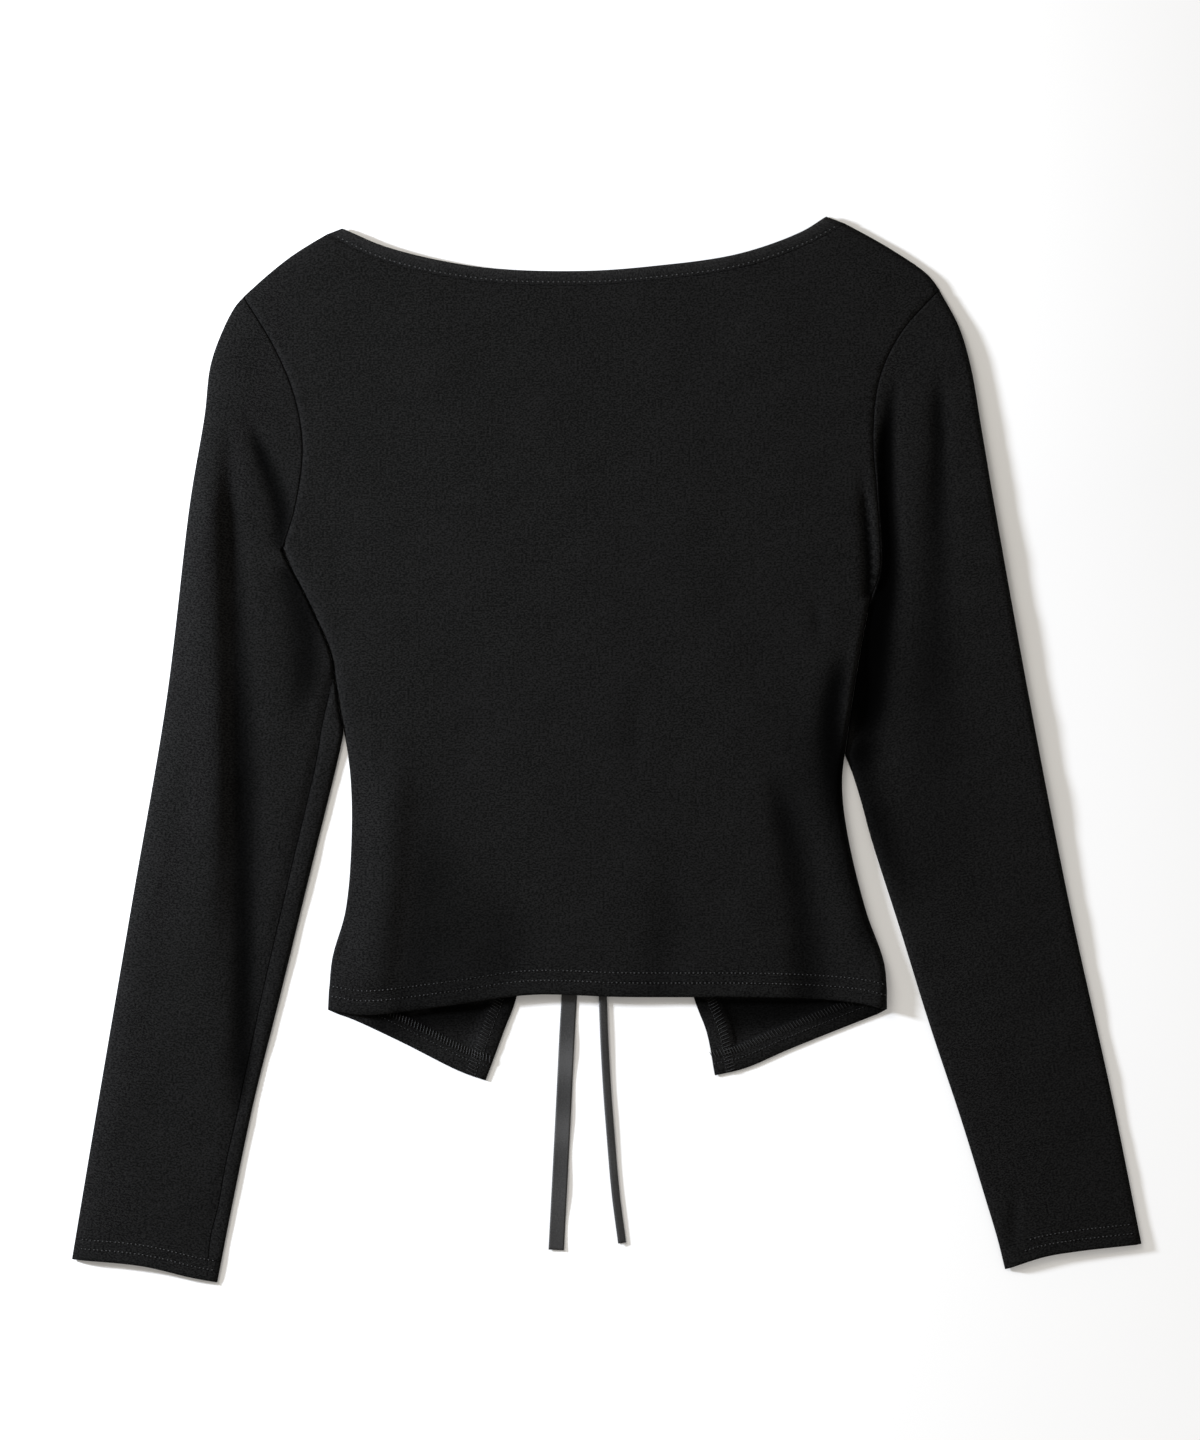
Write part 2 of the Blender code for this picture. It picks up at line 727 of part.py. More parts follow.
def ribbon(name, route, section, satin):
    """A satin ribbon along a route on the surface. section holds the (across, height) of its
    middle line, and half its thickness lies on each side of that."""
    path = stepped(curve(route), steps=25)
    across = -left_normals(path)
    section = np.array(section, float)
    normal = left_normals(section) * RIBBON_THICKNESS / 2
    sides = []
    for line in (section + normal, section - normal):
        flat = path[:, None] + across[:, None] * line[None, :, :1]
        height = np.broadcast_to(line[None, :, 1:], (*flat.shape[:2], 1))
        sides.append(np.concatenate([flat, height], axis=-1))
    return strip(name, sides, satin)


def make_ribbon_left(satin):
    """The left tail lies flat."""
    middle, half = RIBBON_THICKNESS / 2, RIBBON_WIDTH / 2
    section = [(-half, middle), (0, middle), (half, middle)]
    return ribbon("ribbon_left", RIBBON_ROUTES["left"], section, satin)


def make_ribbon_right(satin):
    """The right tail is folded along its middle, and its upper leaf stands open to the right."""
    middle = RIBBON_THICKNESS / 2
    section = [
        (0.0022, middle),
        (-0.0013, middle),
        (-0.0019, middle + 0.0007),
        (-0.0012, middle + 0.0014),
        (0.0024, middle + 0.0027),
    ]
    return ribbon("ribbon_right", RIBBON_ROUTES["right"], section, satin)


def make_knot(satin):
    """The tie's knot, between the two fronts: a pressed pad of ribbon with rounded edges."""
    work = bmesh.new()
    bmesh.ops.create_cube(work, size=1)
    bmesh.ops.scale(work, vec=KNOT_SIZE, verts=work.verts)
    x, y = KNOT_CENTRE
    bmesh.ops.translate(work, vec=(x, y, KNOT_SIZE[2] / 2), verts=work.verts)
    upright = [e for e in work.edges if abs(e.verts[0].co.z - e.verts[1].co.z) > 1e-4]
    bmesh.ops.bevel(work, geom=upright, offset=0.0012, segments=2, profile=0.5, affect="EDGES")
    brim = [e for e in work.edges if min(v.co.z for v in e.verts) > KNOT_SIZE[2] - 1e-5]
    bmesh.ops.bevel(work, geom=brim, offset=0.0009, segments=2, profile=0.5, affect="EDGES")
    return mesh_object("ribbon_knot", work, satin)


def main():
    for thing in list(bpy.data.objects):
        bpy.data.objects.remove(thing)
    jersey = cloth_material("black_jersey", (0.010, 0.010, 0.011), 0.92)
    satin = cloth_material("charcoal_satin", (0.045, 0.045, 0.047), 0.42)
    make_back(jersey)
    for side in SIDES:
        make_front(f"front_{side}", side, jersey)
        make_sleeve(f"sleeve_{side}", side, jersey)
        make_front_binding(f"front_binding_{side}", side, jersey)
    make_neck_binding(jersey)
    make_ribbon_left(satin)
    make_ribbon_right(satin)
    make_knot(satin)


main()
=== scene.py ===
"""The looks of the cropped black jersey cardigan, laid flat with its back up.

Metres, in the CAD's frame: +Z up, z = 0 the surface, +Y towards the neck. The outlines are the
CAD's. Each cloth piece is filled with small triangles at heights worked out from its position,
and the knit and the seams' fine relief come from its material.
"""

import bpy
import numpy as np
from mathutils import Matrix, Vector
from mathutils.geometry import delaunay_2d_cdt


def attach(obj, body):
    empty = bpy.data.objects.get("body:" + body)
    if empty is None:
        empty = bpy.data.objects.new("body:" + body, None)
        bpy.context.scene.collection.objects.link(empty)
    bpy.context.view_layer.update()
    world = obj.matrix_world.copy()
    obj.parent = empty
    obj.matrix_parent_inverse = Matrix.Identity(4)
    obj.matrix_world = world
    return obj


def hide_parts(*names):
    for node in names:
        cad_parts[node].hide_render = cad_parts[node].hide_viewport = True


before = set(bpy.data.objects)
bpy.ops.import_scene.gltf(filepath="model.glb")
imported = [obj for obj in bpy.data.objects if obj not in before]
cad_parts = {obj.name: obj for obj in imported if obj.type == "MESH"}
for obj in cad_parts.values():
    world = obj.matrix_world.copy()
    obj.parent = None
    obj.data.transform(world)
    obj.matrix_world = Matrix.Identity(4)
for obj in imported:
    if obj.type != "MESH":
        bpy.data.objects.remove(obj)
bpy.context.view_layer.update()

# ---------------------------------------------------------------- sizes

PIXEL = 0.00058  # of the photo, on the object
ORIGIN_PIXEL = (606.7, 749.4)
IMAGE = (1200, 1440)
CAMERA_DISTANCE = 2.6

CLOTH = 0.0008  # one layer of jersey
HEM_CLOTH = 0.0016  # with its turned-up allowance
EDGE_HEIGHT = 0.00095  # the outer face at a folded edge
# How wide the upper layer curls down to each folded edge, or a table of (y, width).
SIDE_ROLL = {
    "left": ((-0.060, 0.0240), (0.020, 0.0070)),
    "right": ((-0.040, 0.0040), (0.010, 0.0032)),
}
INNER_ROLL = {"left": ((-0.010, 0.0040), (0.010, 0.0012)), "right": 0.0060}
OUTER_ROLL = {"left": ((0.160, 0.0150), (0.245, 0.0200)), "right": 0.0034}
UNDER_ROLL = 0.0016
TOP_LEVEL = 0.0038  # the back's upper face at its seams
BODY_CROWN = 0.0021
BODY_HALF_WIDTH = 0.156
HEM_LIFT = 0.0007  # the back's hem rides up on the fronts' turned hems
HEM_EDGE_LIFT = 0.0009
RIGHT_LIFT, LEFT_LIFT = 0.0029, 0.0004  # how much the back stands up towards its sides
RIGHT_LIFT_WIDTH, LEFT_LIFT_WIDTH = 0.022, 0.030
# Where these set in, from the hem upwards (y) or from the neck downwards (-y), and over how far.
CROWN_ENDS, NECK_DROPS = (0.06, 0.20), (0.13, 0.15)  # y
HEM_LIFTS, HEM_EDGE_LIFTS, RIGHT_LIFTS = (0.115, 0.022), (0.118, 0.012), (-0.070, 0.050)  # -y
NECK_DROP = 0.0012
SEAM_DIP, SEAM_DIP_WIDTH = 0.00010, 0.0011
LOWEST_BACK = 0.0019  # on the fronts' two layers
FRONT_HEM = 0.0145
BACK_HEM = 0.0148
BACK_ROWS = (0.0078, 0.0136)  # the hem's two rows of stitches, from its edge
CUFF_ROWS = (0.0066, 0.0120)
NECK_ROW = 0.0017  # the binding's row of stitches, from its seam
NECK_FAINT = 0.0007  # added to the distance from the neck's seam, which shows less
NECK_DIMPLE = 0.00032  # how deep the binding's row of stitches sinks in
BINDING_THICKNESS, FRONT_BINDING_THICKNESS = 0.0022, 0.0017
BINDING_PROUD = 0.0007  # above the back at its seam
BINDING_FALL = 0.35  # how much of its fullness the binding loses down to its seam
BINDING_SHADE, BINDING_SHADE_POWER = 0.00177, 0.45  # the painted shade towards its seam: how deep, and how fast it comes in
FRONT_ROWS = {  # from a front's lower edge: its row of loops, and its slanting strokes from and to
    "left": (0.0080, 0.0100, 0.0150),
    "right": (0.0066, 0.0098, 0.0140),
}
EDGE_STROKES = (0.0068, 0.0124)  # the same strokes, from a front's upright edge
STITCHES = {  # each row's pitch, and its stitches' length and half height
    "hem": (0.00244, 0.00090, 0.00032),
    "cuff": (0.00240, 0.00090, 0.00030),
    "neck": (0.0030, 0.00100, 0.00025),
    "front_hem": (0.0021, 0.0012, 0.00028),
    "front_edge": (0.0022, 0.0012, 0.00022),
}
STROKE_PITCH = {"front_hem": 0.0019, "front_edge": 0.0020}
STROKE_LEAN = {"front_hem": 0.0012, "front_edge": 0.0010}
RIBBON, RIBBON_WIDTH = 0.00035, 0.0090

CURVE_STEP = 0.001
CLOTH_STEP = 0.0032
SLEEVE_STEP = 0.0030
FRONT_STEP = 1.6 * CLOTH_STEP
NECK_STEPS, FRONT_NECK_STEPS = 170, 90
EDGE_LINES = (0.0003, 0.0009, 0.0019, 0.0034, 0.0053)  # rows of points inside a folded edge
SEAM_LINES = (0.0006, 0.0016)  # and inside a sewn one
TOUCHING = 0.00002  # closer than this, two points are one
FAR = 0.099  # a distance at which a material shows no seam

# ---------------------------------------------------------------- outlines

# The tables' lines are runs of (x, y) in tenths of a millimetre.
TENTHS = 10000

HEM_BACK = (
    (-1614, -1509), (-1400, -1535), (-900, -1481), (-444, -1418), (100, -1430), (1000, -1436),
    (1460, -1467), (1623, -1505)
)
NECK_EDGE = (
    (-1535, 3023), (-1263, 2910), (-743, 2800), (-151, 2776), (292, 2807), (762, 2875),
    (1129, 3003), (1274, 3092)
)
NECK_SEAM = (
    (-1623, 2989), (-1295, 2833), (-752, 2718), (-150, 2695), (300, 2726), (782, 2796),
    (1166, 2930), (1384, 3050)
)

# Each side's curves. side, armhole and shoulder run upwards, the sleeve's edges downwards, and
# front_edge and front_neck upwards from the hem's corner to the knot and on to the shoulder.
SIDES = {
    "left": {
        "side": (
            (-1614, -1509), (-1592, -1220), (-1512, -926), (-1477, -392), (-1498, -41),
            (-1547, 220), (-1600, 552), (-1707, 812), (-1884, 1150)
        ),
        "armhole": (
            (-1884, 1150), (-1807, 1404), (-1763, 1750), (-1811, 2051), (-1932, 2340),
            (-2107, 2626)
        ),
        "shoulder": ((-2107, 2626), (-2001, 2722), (-1877, 2825), (-1779, 2895), (-1623, 2989)),
        "sleeve_outer": (
            (-2107, 2629), (-2150, 2580), (-2218, 2457), (-2299, 2234), (-2335, 1935),
            (-2417, 1447), (-2556, 287), (-2753, -874), (-2950, -2034), (-3104, -2957)
        ),
        "sleeve_inner": (
            (-1560, -61), (-1703, -642), (-1901, -1453), (-2046, -2034), (-2167, -2613),
            (-2260, -3092)
        ),
        "cuff": ((-3104, -2957), (-2694, -2996), (-2416, -3062), (-2260, -3092)),
        "front_hem": (
            (-1610, -1520), (-1498, -1556), (-1188, -1699), (-851, -1868), (-704, -1920)
        ),
        "front_edge": ((-704, -1920), (-591, -1615), (-531, -1458), (-340, -600), (-200, 520)),
        "front_neck": ((-200, 520), (-740, 1420), (-1240, 2280), (-1623, 2989)),
        "front_neck_edge": ((-130, 560), (-670, 1462), (-1165, 2318), (-1535, 3023)),
    },
    "right": {
        "side": (
            (1623, -1505), (1612, -1255), (1504, -940), (1398, -504), (1364, -200), (1395, 78),
            (1478, 611), (1526, 860)
        ),
        "armhole": (
            (1526, 860), (1584, 1037), (1567, 1500), (1546, 1800), (1582, 2147), (1708, 2416),
            (1930, 2667)
        ),
        "shoulder": ((1930, 2667), (1864, 2752), (1649, 2902), (1384, 3050)),
        "sleeve_outer": (
            (1930, 2669), (2044, 2455), (2111, 2234), (2178, 1849), (2246, 1447), (2455, 287),
            (2681, -873), (2937, -2034), (3104, -2868)
        ),
        "sleeve_inner": (
            (1426, -139), (1484, -328), (1531, -504), (1701, -1038), (1872, -1591), (2060, -2157),
            (2199, -2610), (2268, -2840), (2312, -3016)
        ),
        "cuff": ((3104, -2868), (2727, -2910), (2538, -2942), (2312, -3016)),
        "front_hem": ((1620, -1516), (1476, -1572), (1054, -1741), (801, -1850), (629, -1891)),
        "front_edge": ((629, -1891), (583, -1643), (513, -1456), (270, -500), (80, 520)),
        "front_neck": ((80, 520), (530, 1360), (1010, 2260), (1384, 3050)),
        "front_neck_edge": ((7, 554), (458, 1396), (930, 2296), (1274, 3092)),
    },
}

OUT = {"left": 1, "right": -1}  # 1 where the outside is on the left of side, along its run
BESIDE_TO = {"left": 0.0090, "right": -0.0041}  # down to here the sleeve follows the body's side

# The ribbons' middle lines, from the knot to their cut ends.
RIBBON_ROUTES = {
    "left": (
        (-113, 447), (-122, 0), (-168, -750), (-221, -1494), (-255, -2166), (-293, -2906)
    ),
    "right": (
        (-14, 447), (-24, 0), (-28, -750), (-20, -1500), (0, -1929), (22, -2225), (52, -2573),
        (90, -2865)
    ),
}

# The seam under the left arm, which lies on the upper side of that sleeve.
UNDERARM_SEAM = (
    (-1582, 432), (-1616, 292), (-1651, 136), (-1683, -61), (-1845, -760), (-2005, -1453),
    (-2051, -1674), (-2103, -1918), (-2144, -2120), (-2208, -2399), (-2254, -2654),
    (-2295, -2817), (-2312, -2970)
)

# ---------------------------------------------------------------- folds

# Soft troughs in the upper layers: a middle line, half the width on the left and on the right of
# its run, spaced evenly from its start to its end, the depth, the depth of the painted shade that
# darkens it, and the share of the line over which its start and its end fade. A ridge has a
# negative depth.
FOLD_COLUMNS = ("line", "left", "right", "depth", "shade", "start", "end")
BACK_FOLDS = (
    (((1365, 50), (1353, -293), (1388, -583), (1458, -873), (1527, -1163), (1560, -1300)),
     (60, 60), (85, 90), 2, 18, 0.3, 0.2),
    (((1130, 700), (1110, 55), (1230, -500), (1330, -1000)),
     (200, 200), (140, 200), 2, 12, 0.4, 0.5),
    (((1480, 1740), (1497, 1447), (1517, 1243), (1529, 1064), (1526, 867)),
     (14, 18), (26, 34), 36, 36, 0.6, 0.03),
    (((1550, 1550), (1572, 1100)), (15, 20), (15, 20), -5, -5, 0.4, 0.3),
    (((1385, 700), (1350, 461), (1318, 287), (1316, 55), (1340, -177), (1375, -500)),
     (62, 85), (55, 130), 20, 30, 0.3, 0.45),
    (((1415, 350), (1398, 100)), (20, 30), (20, 30), -4, -4, 0.4, 0.4),
    (((1208, 890), (1225, 760), (1249, 600)), (25, 30), (30, 50), 11, 11, 0.4, 0.4),
    (((900, 60), (960, -177), (1022, -409), (1085, -699), (1130, -989), (1175, -1560)),
     (50, 130, 190), (35, 90, 120), 16, 20, 0.35, 0.02),
    (((790, -700), (860, -1250)), (70, 90), (80, 120), -5, -5, 0.5, 0.2),
    (((-1060, 300), (-1078, -293), (-1096, -583), (-1115, -873), (-1150, -1163), (-1195, -1560)),
     (140, 260, 300), (60, 90, 100), 11, 15, 0.6, 0.02),
    (((-900, 50), (-800, -873), (-780, -1560)), (300, 500), (200, 260), 3, 9, 0.8, 0.02),
    (((-1361, 330), (-1361, -61), (-1373, -320)), (20, 30), (20, 30), -5, -5, 0.4, 0.4),
    (((-1235, 250), (-1265, -641), (-1300, -989), (-1345, -1460)),
     (115, 125, 115), (110, 170), -30, -30, 0.35, 0.1),
    (((190, 500), (164, 287), (141, -3), (135, -340)), (60, 85), (60, 80), 8, 11, 0.6, 0.6),
    (((410, -350), (332, -873), (309, -1163), (270, -1560)),
     (130, 170), (110, 150), 8, 12, 0.5, 0.1),
    (((-560, -700), (-600, -1400)), (140, 200), (120, 180), 6, 6, 0.5, 0.2),
    (((-1500, -1040), (-1530, -1160), (-1580, -1240)), (12, 15), (15, 20), 16, 16, 0.4, 0.3),
    (((-1655, 1230), (-1620, 830)), (20, 30), (30, 40), -4, -4, 0.4, 0.4),
    (((-1000, 2250), (-200, 2050), (700, 2200)), (180, 220), (160, 200), 4, 4, 0.4, 0.4),
    (((-700, 1150), (-850, 250), (-800, -500)), (180, 220), (220, 280), 5, 5, 0.5, 0.5),
    (((650, 1300), (720, 550)), (140, 180), (180, 240), 5, 5, 0.5, 0.5),
)
SLEEVE_FOLDS = {
    "left": (
        (((-2105, 2000), (-2017, 1737), (-1950, 1563), (-1893, 1389), (-1876, 1250), (-1876, 1130)),
         (26, 80, 88), (22, 50, 70), 16, 27, 0.34, 0.06),
        (((-2206, 1980), (-2204, 1853), (-2188, 1447), (-2172, 1215), (-2158, 983), (-2147, 751),
          (-2138, 519), (-2132, 287), (-2126, -3), (-2118, -293), (-2113, -583), (-2112, -873),
          (-2103, -1163), (-2102, -1453), (-2112, -1743), (-2124, -2033), (-2145, -2265)),
         (32, 78, 125, 88, 36), (28, 50, 70, 80, 75), 17, 17, 0.12, 0.12),
        (((-2158, 983), (-2138, 519), (-2126, -3), (-2113, -583), (-2103, -1163), (-2112, -1743),
          (-2145, -2265)), (100, 120, 88, 36), (55, 72, 80, 75), 4, 10, 0.38, 0.12),
        (((-2300, 1750), (-2290, 867), (-2278, 287), (-2276, -293), (-2296, -873), (-2350, -1600)),
         (70, 80), (150, 170), -34, -34, 0.12, 0.4),
        (((-1890, 1130), (-1837, 1011), (-1748, 751), (-1736, 519), (-1768, 287), (-1795, 100),
          (-1805, 0)), (60, 115, 110, 60), (60, 140, 110, 80), 12, 23, 0.12, 0.4),
        (((-2500, -1700), (-2680, -2500)), (100, 130), (100, 130), 4, 4, 0.5, 0.4),
        (((-2760, -2200), (-2620, -2480), (-2420, -2560)), (50, 60), (50, 70), 4, 4, 0.4, 0.4),
        (((-2300, -2450), (-2360, -2950)), (80, 100), (80, 100), 4, 4, 0.5, 0.2),
    ),
    "right": (
        (((1690, 2320), (1674, 2150), (1644, 2020), (1629, 1900), (1618, 1790), (1610, 1447),
          (1614, 1099), (1596, 925), (1562, 750), (1542, 606), (1510, 402), (1488, 170),
          (1475, -50), (1480, -200)),
         (44, 52, 85, 120, 125), (24, 46, 80, 90, 80), 28, 52, 0.27, 0.22),
        (((1440, 100), (1455, -60), (1504, -293), (1608, -583), (1713, -873), (1788, -1163)),
         (120, 130), (120, 120), 1, 21, 0.12, 0.65),
        (((1918, 2250), (1922, 1795), (1916, 1447), (1912, 1099), (1922, 751), (1945, 287),
          (1991, -293)), (40, 80, 140, 180), (40, 80, 150, 200), 15, 24, 0.11, 0.85),
        (((1790, 1950), (1785, 1500), (1775, 1000)), (60, 80), (50, 60), -4, -4, 0.4, 0.4),
        (((1800, 1150), (1840, 500), (1880, 0), (1930, -600), (2030, -1200), (2140, -1800)),
         (220, 280, 300), (200, 280, 340), 2, 11, 0.25, 0.5),
        (((2230, -1500), (2450, -2300)), (100, 120), (110, 130), 6, 6, 0.5, 0.5),
        (((2385, -2480), (2350, -2900)), (20, 30), (30, 40), 10, 10, 0.5, 0.1),
    ),
}

# A sleeve's height along it: the share of the way from the armhole to the cuff, and the height
# near its outer edge, in its middle and near its inner edge.
SLEEVE_LEVELS = {
    "left": (
        (0.00, 0.0042, 0.0044, 0.0040),
        (0.15, 0.0056, 0.0056, 0.0036),
        (0.35, 0.0058, 0.0056, 0.0026),
        (0.60, 0.0054, 0.0054, 0.0023),
        (0.85, 0.0042, 0.0043, 0.0021),
        (1.00, 0.0034, 0.0036, 0.0021),
    ),
    "right": (
        (0.00, 0.0044, 0.0044, 0.0040),
        (0.15, 0.0056, 0.0056, 0.0046),
        (0.35, 0.0054, 0.0058, 0.0046),
        (0.50, 0.0042, 0.0052, 0.0036),
        (0.70, 0.0031, 0.0044, 0.0030),
        (0.85, 0.0028, 0.0040, 0.0030),
        (1.00, 0.0031, 0.0040, 0.0032),
    ),
}

# ---------------------------------------------------------------- curves


def metres(table):
    return np.array(table) / TENTHS


def curve(knots):
    """A smooth line through the knots, read at every CURVE_STEP: a centripetal Catmull-Rom."""
    knots = np.vstack([2 * knots[0] - knots[1], knots, 2 * knots[-1] - knots[-2]])
    pieces = []
    for p0, p1, p2, p3 in zip(knots, knots[1:], knots[2:], knots[3:]):
        t0 = 0.0
        t1 = t0 + np.linalg.norm(p1 - p0) ** 0.5
        t2 = t1 + np.linalg.norm(p2 - p1) ** 0.5
        t3 = t2 + np.linalg.norm(p3 - p2) ** 0.5
        count = max(2, int(np.linalg.norm(p2 - p1) / CURVE_STEP))
        t = np.linspace(t1, t2, count, endpoint=False)[:, None]

        def blend(begin, end, first, second):
            return (end - t) / (end - begin) * first + (t - begin) / (end - begin) * second

        a1, a2, a3 = blend(t0, t1, p0, p1), blend(t1, t2, p1, p2), blend(t2, t3, p2, p3)
        pieces.append(blend(t1, t2, blend(t0, t2, a1, a2), blend(t1, t3, a2, a3)))
    return np.vstack(pieces + [knots[-2:-1]])


def left_normals(line):
    """Unit vectors to the left of a line's run, one for each of its points."""
    run = np.gradient(line, axis=0)
    run /= np.linalg.norm(run, axis=1)[:, None]
    return np.stack([-run[:, 1], run[:, 0]], axis=1)


def moved(line, distance):
    """The line moved to its left."""
    return line + left_normals(line) * distance


def length_of(line):
    return np.linalg.norm(np.diff(line, axis=0), axis=1).sum()


def run_of(line):
    """How far along a line each of its points is."""
    return np.concatenate([[0], np.cumsum(np.linalg.norm(np.diff(line, axis=0), axis=1))])


def read(line, run, where):
    """The points of a line at some lengths along it, where run is each of its points' length."""
    return np.stack([np.interp(where, run, axis) for axis in line.T], axis=-1)


def stepped(line, step=CURVE_STEP, steps=None):
    """Points of a line at even steps: as many as given, or else about one for each step."""
    run = run_of(line)
    return read(line, run, np.linspace(0, run[-1], (steps or max(1, round(run[-1] / step))) + 1))


def rows_beside(line, distances, step):
    return [stepped(moved(line, distance), step) for distance in distances]


def closest(points, others):
    """For each point, the index of the closest of the others and its distance."""
    index, distance = np.empty(len(points), int), np.empty(len(points))
    square = (others**2).sum(axis=1)
    for start in range(0, len(points), 5000):
        part = slice(start, start + 5000)
        found = square[None] - 2 * points[part] @ others.T
        index[part] = found.argmin(axis=1)
        found = found.min(axis=1) + (points[part] ** 2).sum(axis=1)
        distance[part] = np.sqrt(np.clip(found, 0, None))
    return index, distance


def nearest(points, line):
    """For each point, its distance to a line and the index of the line's nearest point."""
    index = closest(points, line)[0]
    best = np.full(len(points), np.inf)
    for first in (index - 1, index):
        begin = line[np.clip(first, 0, len(line) - 2)]
        run = line[np.clip(first, 0, len(line) - 2) + 1] - begin
        share = ((points - begin) * run).sum(axis=1) / (run**2).sum(axis=1)
        foot = begin + run * np.clip(share, 0, 1)[:, None]
        best = np.minimum(best, np.linalg.norm(points - foot, axis=1))
    return best, index


def beside(points, line):
    """For each point, its distance to a line, more than 0 where it lies on the left of the line's
    run, and its share of the way along it."""
    distance, index = nearest(points, line)
    side = ((points - line[index]) * left_normals(line)[index]).sum(axis=1)
    return distance, side, index / (len(line) - 1)


def inside(points, loop):
    """Which points lie inside a closed loop, by the crossings to their right."""
    x, y = points.T
    found = np.zeros(len(points), bool)
    for (x0, y0), (x1, y1) in zip(loop, np.roll(loop, -1, axis=0)):
        if y0 != y1:
            found ^= ((y0 > y) != (y1 > y)) & (x < (x1 - x0) * (y - y0) / (y1 - y0) + x0)
    return found


def smooth_step(x):
    x = np.clip(x, 0, 1)
    return x * x * (3 - 2 * x)


def ramp(x, start, length):
    """0 up to a start, and smoothly up to 1 over a length from there."""
    return smooth_step((x - start) / length)


def bell(x, half):
    """1 where x is 0, falling to 0 on both sides."""
    return np.exp(-((x / half) ** 2))


def eased(x, knots, values):
    """Values between knots, level at each knot."""
    i = np.clip(np.searchsorted(knots, x) - 1, 0, len(knots) - 2)
    share = smooth_step((x - knots[i]) / (knots[i + 1] - knots[i]))
    return values[i] + (values[i + 1] - values[i]) * share


def with_height(points, height):
    """The points with one more coordinate."""
    return np.column_stack([points, np.broadcast_to(height, len(points))])


# ---------------------------------------------------------------- plans


def plan(lines, row_edges, distances, step, more_rows=()):
    """Points and triangles inside a closed run of lines, with rows along some of its edges.

    lines follow one another round the outline. row_edges is a list of (line, sign), with sign 1
    where the outside is on the line's left, and distances says how far inside them the rows run.
    """
    loop = np.vstack([line[:-1] for line in lines])
    closed = stepped(np.vstack([loop, loop[:1]]), 0.0005)
    chosen = []
    rows = [
        (row, 0.8 * distance)
        for line, sign in row_edges
        for distance in distances
        for row in rows_beside(line, (-sign * distance,), step)
    ]
    for row, room in rows + [(row, 0.5 * step) for row in more_rows]:
        row = row[inside(row, loop)]
        row = row[nearest(row, closed)[0] > room]
        for old in chosen:
            if len(row) and len(old):
                row = row[closest(row, old)[1] > 0.0003]
        chosen.append(row)
    rows = np.vstack(chosen)
    low, high = loop.min(axis=0), loop.max(axis=0)
    grid = []
    for i, y in enumerate(np.arange(low[1] + step / 2, high[1], step * 0.75**0.5)):
        x = np.arange(low[0] + step * (0.25 + i % 2 / 2), high[0], step)
        grid.append(with_height(x, y))
    grid = np.vstack(grid)
    grid = grid[inside(grid, loop)]
    grid = grid[closest(grid, np.vstack([closed, rows]))[1] > 0.6 * step]
    corners = np.vstack([loop, rows, grid]) * 1000
    found = delaunay_2d_cdt(
        [Vector(point) for point in corners], [], [list(range(len(loop)))], 1, 1e-4
    )
    return np.array([tuple(point) for point in found[0]]) / 1000, np.array(found[2])


def facing_up(points, triangles):
    """The triangles, turned so that they are seen from above."""
    a, b, c = points[triangles[0]]
    turn = (b - a)[0] * (c - a)[1] - (b - a)[1] * (c - a)[0]
    return triangles if turn > 0 else triangles[:, ::-1]


def rim(triangles):
    """The edges of one triangle only, as they run in it."""
    runs = np.vstack([triangles[:, [0, 1]], triangles[:, [1, 2]], triangles[:, [2, 0]]])
    known = set(map(tuple, runs.tolist()))
    return [(a, b) for a, b in known if (b, a) not in known]


# ---------------------------------------------------------------- heights


def fold_depth(points, table, column="depth"):
    """How far a table's folds push the points down, or, from its shade column, how deep their
    painted shade is.
    """
    down = np.zeros(len(points))
    for row in table:
        fold = dict(zip(FOLD_COLUMNS, row))
        distance, side, share = beside(points, curve(metres(fold["line"])))
        halves = [metres(fold[key]) for key in ("left", "right")]
        half = np.where(
            side > 0, *(np.interp(share, np.linspace(0, 1, len(w)), w) for w in halves)
        )
        ends = smooth_step(share / fold["start"]) * smooth_step((1 - share) / fold["end"])
        down += metres(fold[column]) * bell(distance, half) * ends
    return down


WAVES = (  # wavelength, direction in degrees, phase, height
    (0.061, 12, 0.3, 0.00012),
    (0.047, 74, 1.9, 0.00010),
    (0.033, -38, 4.1, 0.00008),
    (0.024, 51, 2.2, 0.00005),
    (0.019, -71, 5.0, 0.00004),
)


def unevenness(points, shift):
    """The cloth's slight waviness."""
    height = np.zeros(len(points))
    for wavelength, degrees, phase, size in WAVES:
        run = np.array([np.cos(np.radians(degrees)), np.sin(np.radians(degrees))])
        height += size * np.sin(points @ run * 2 * np.pi / wavelength + phase + shift)
    return height


def rolled(points, edges, level, edge_height):
    """How an upper layer curls down to its folded edges, each a (line, sign, width of the curl),
    where the width may be a table of (y, width).

    It returns the height, how far the normal leans outwards, how far it points up, the outward
    direction in the plane, and how far round its curl each point is, from 0 at the edge to 1.
    """
    best = np.full(len(points), np.inf)
    roll = np.ones(len(points))
    outwards = np.zeros(points.shape)
    for line, sign, width in edges:
        if isinstance(width, tuple):
            width = np.interp(points[:, 1], *zip(*width))
        distance, index = nearest(points, line)
        closer = distance < best
        best = np.where(closer, distance, best)
        roll = np.where(closer, width, roll)
        outwards = np.where(closer[:, None], sign * left_normals(line)[index], outwards)
    lean = 1 - np.clip(best / roll, 0, 1)
    rise = np.sqrt(1 - lean**2)
    height = level - edge_height
    steep = np.hypot(height * lean, roll * rise)
    return edge_height + height * rise, height * lean / steep, roll * rise / steep, outwards, rise


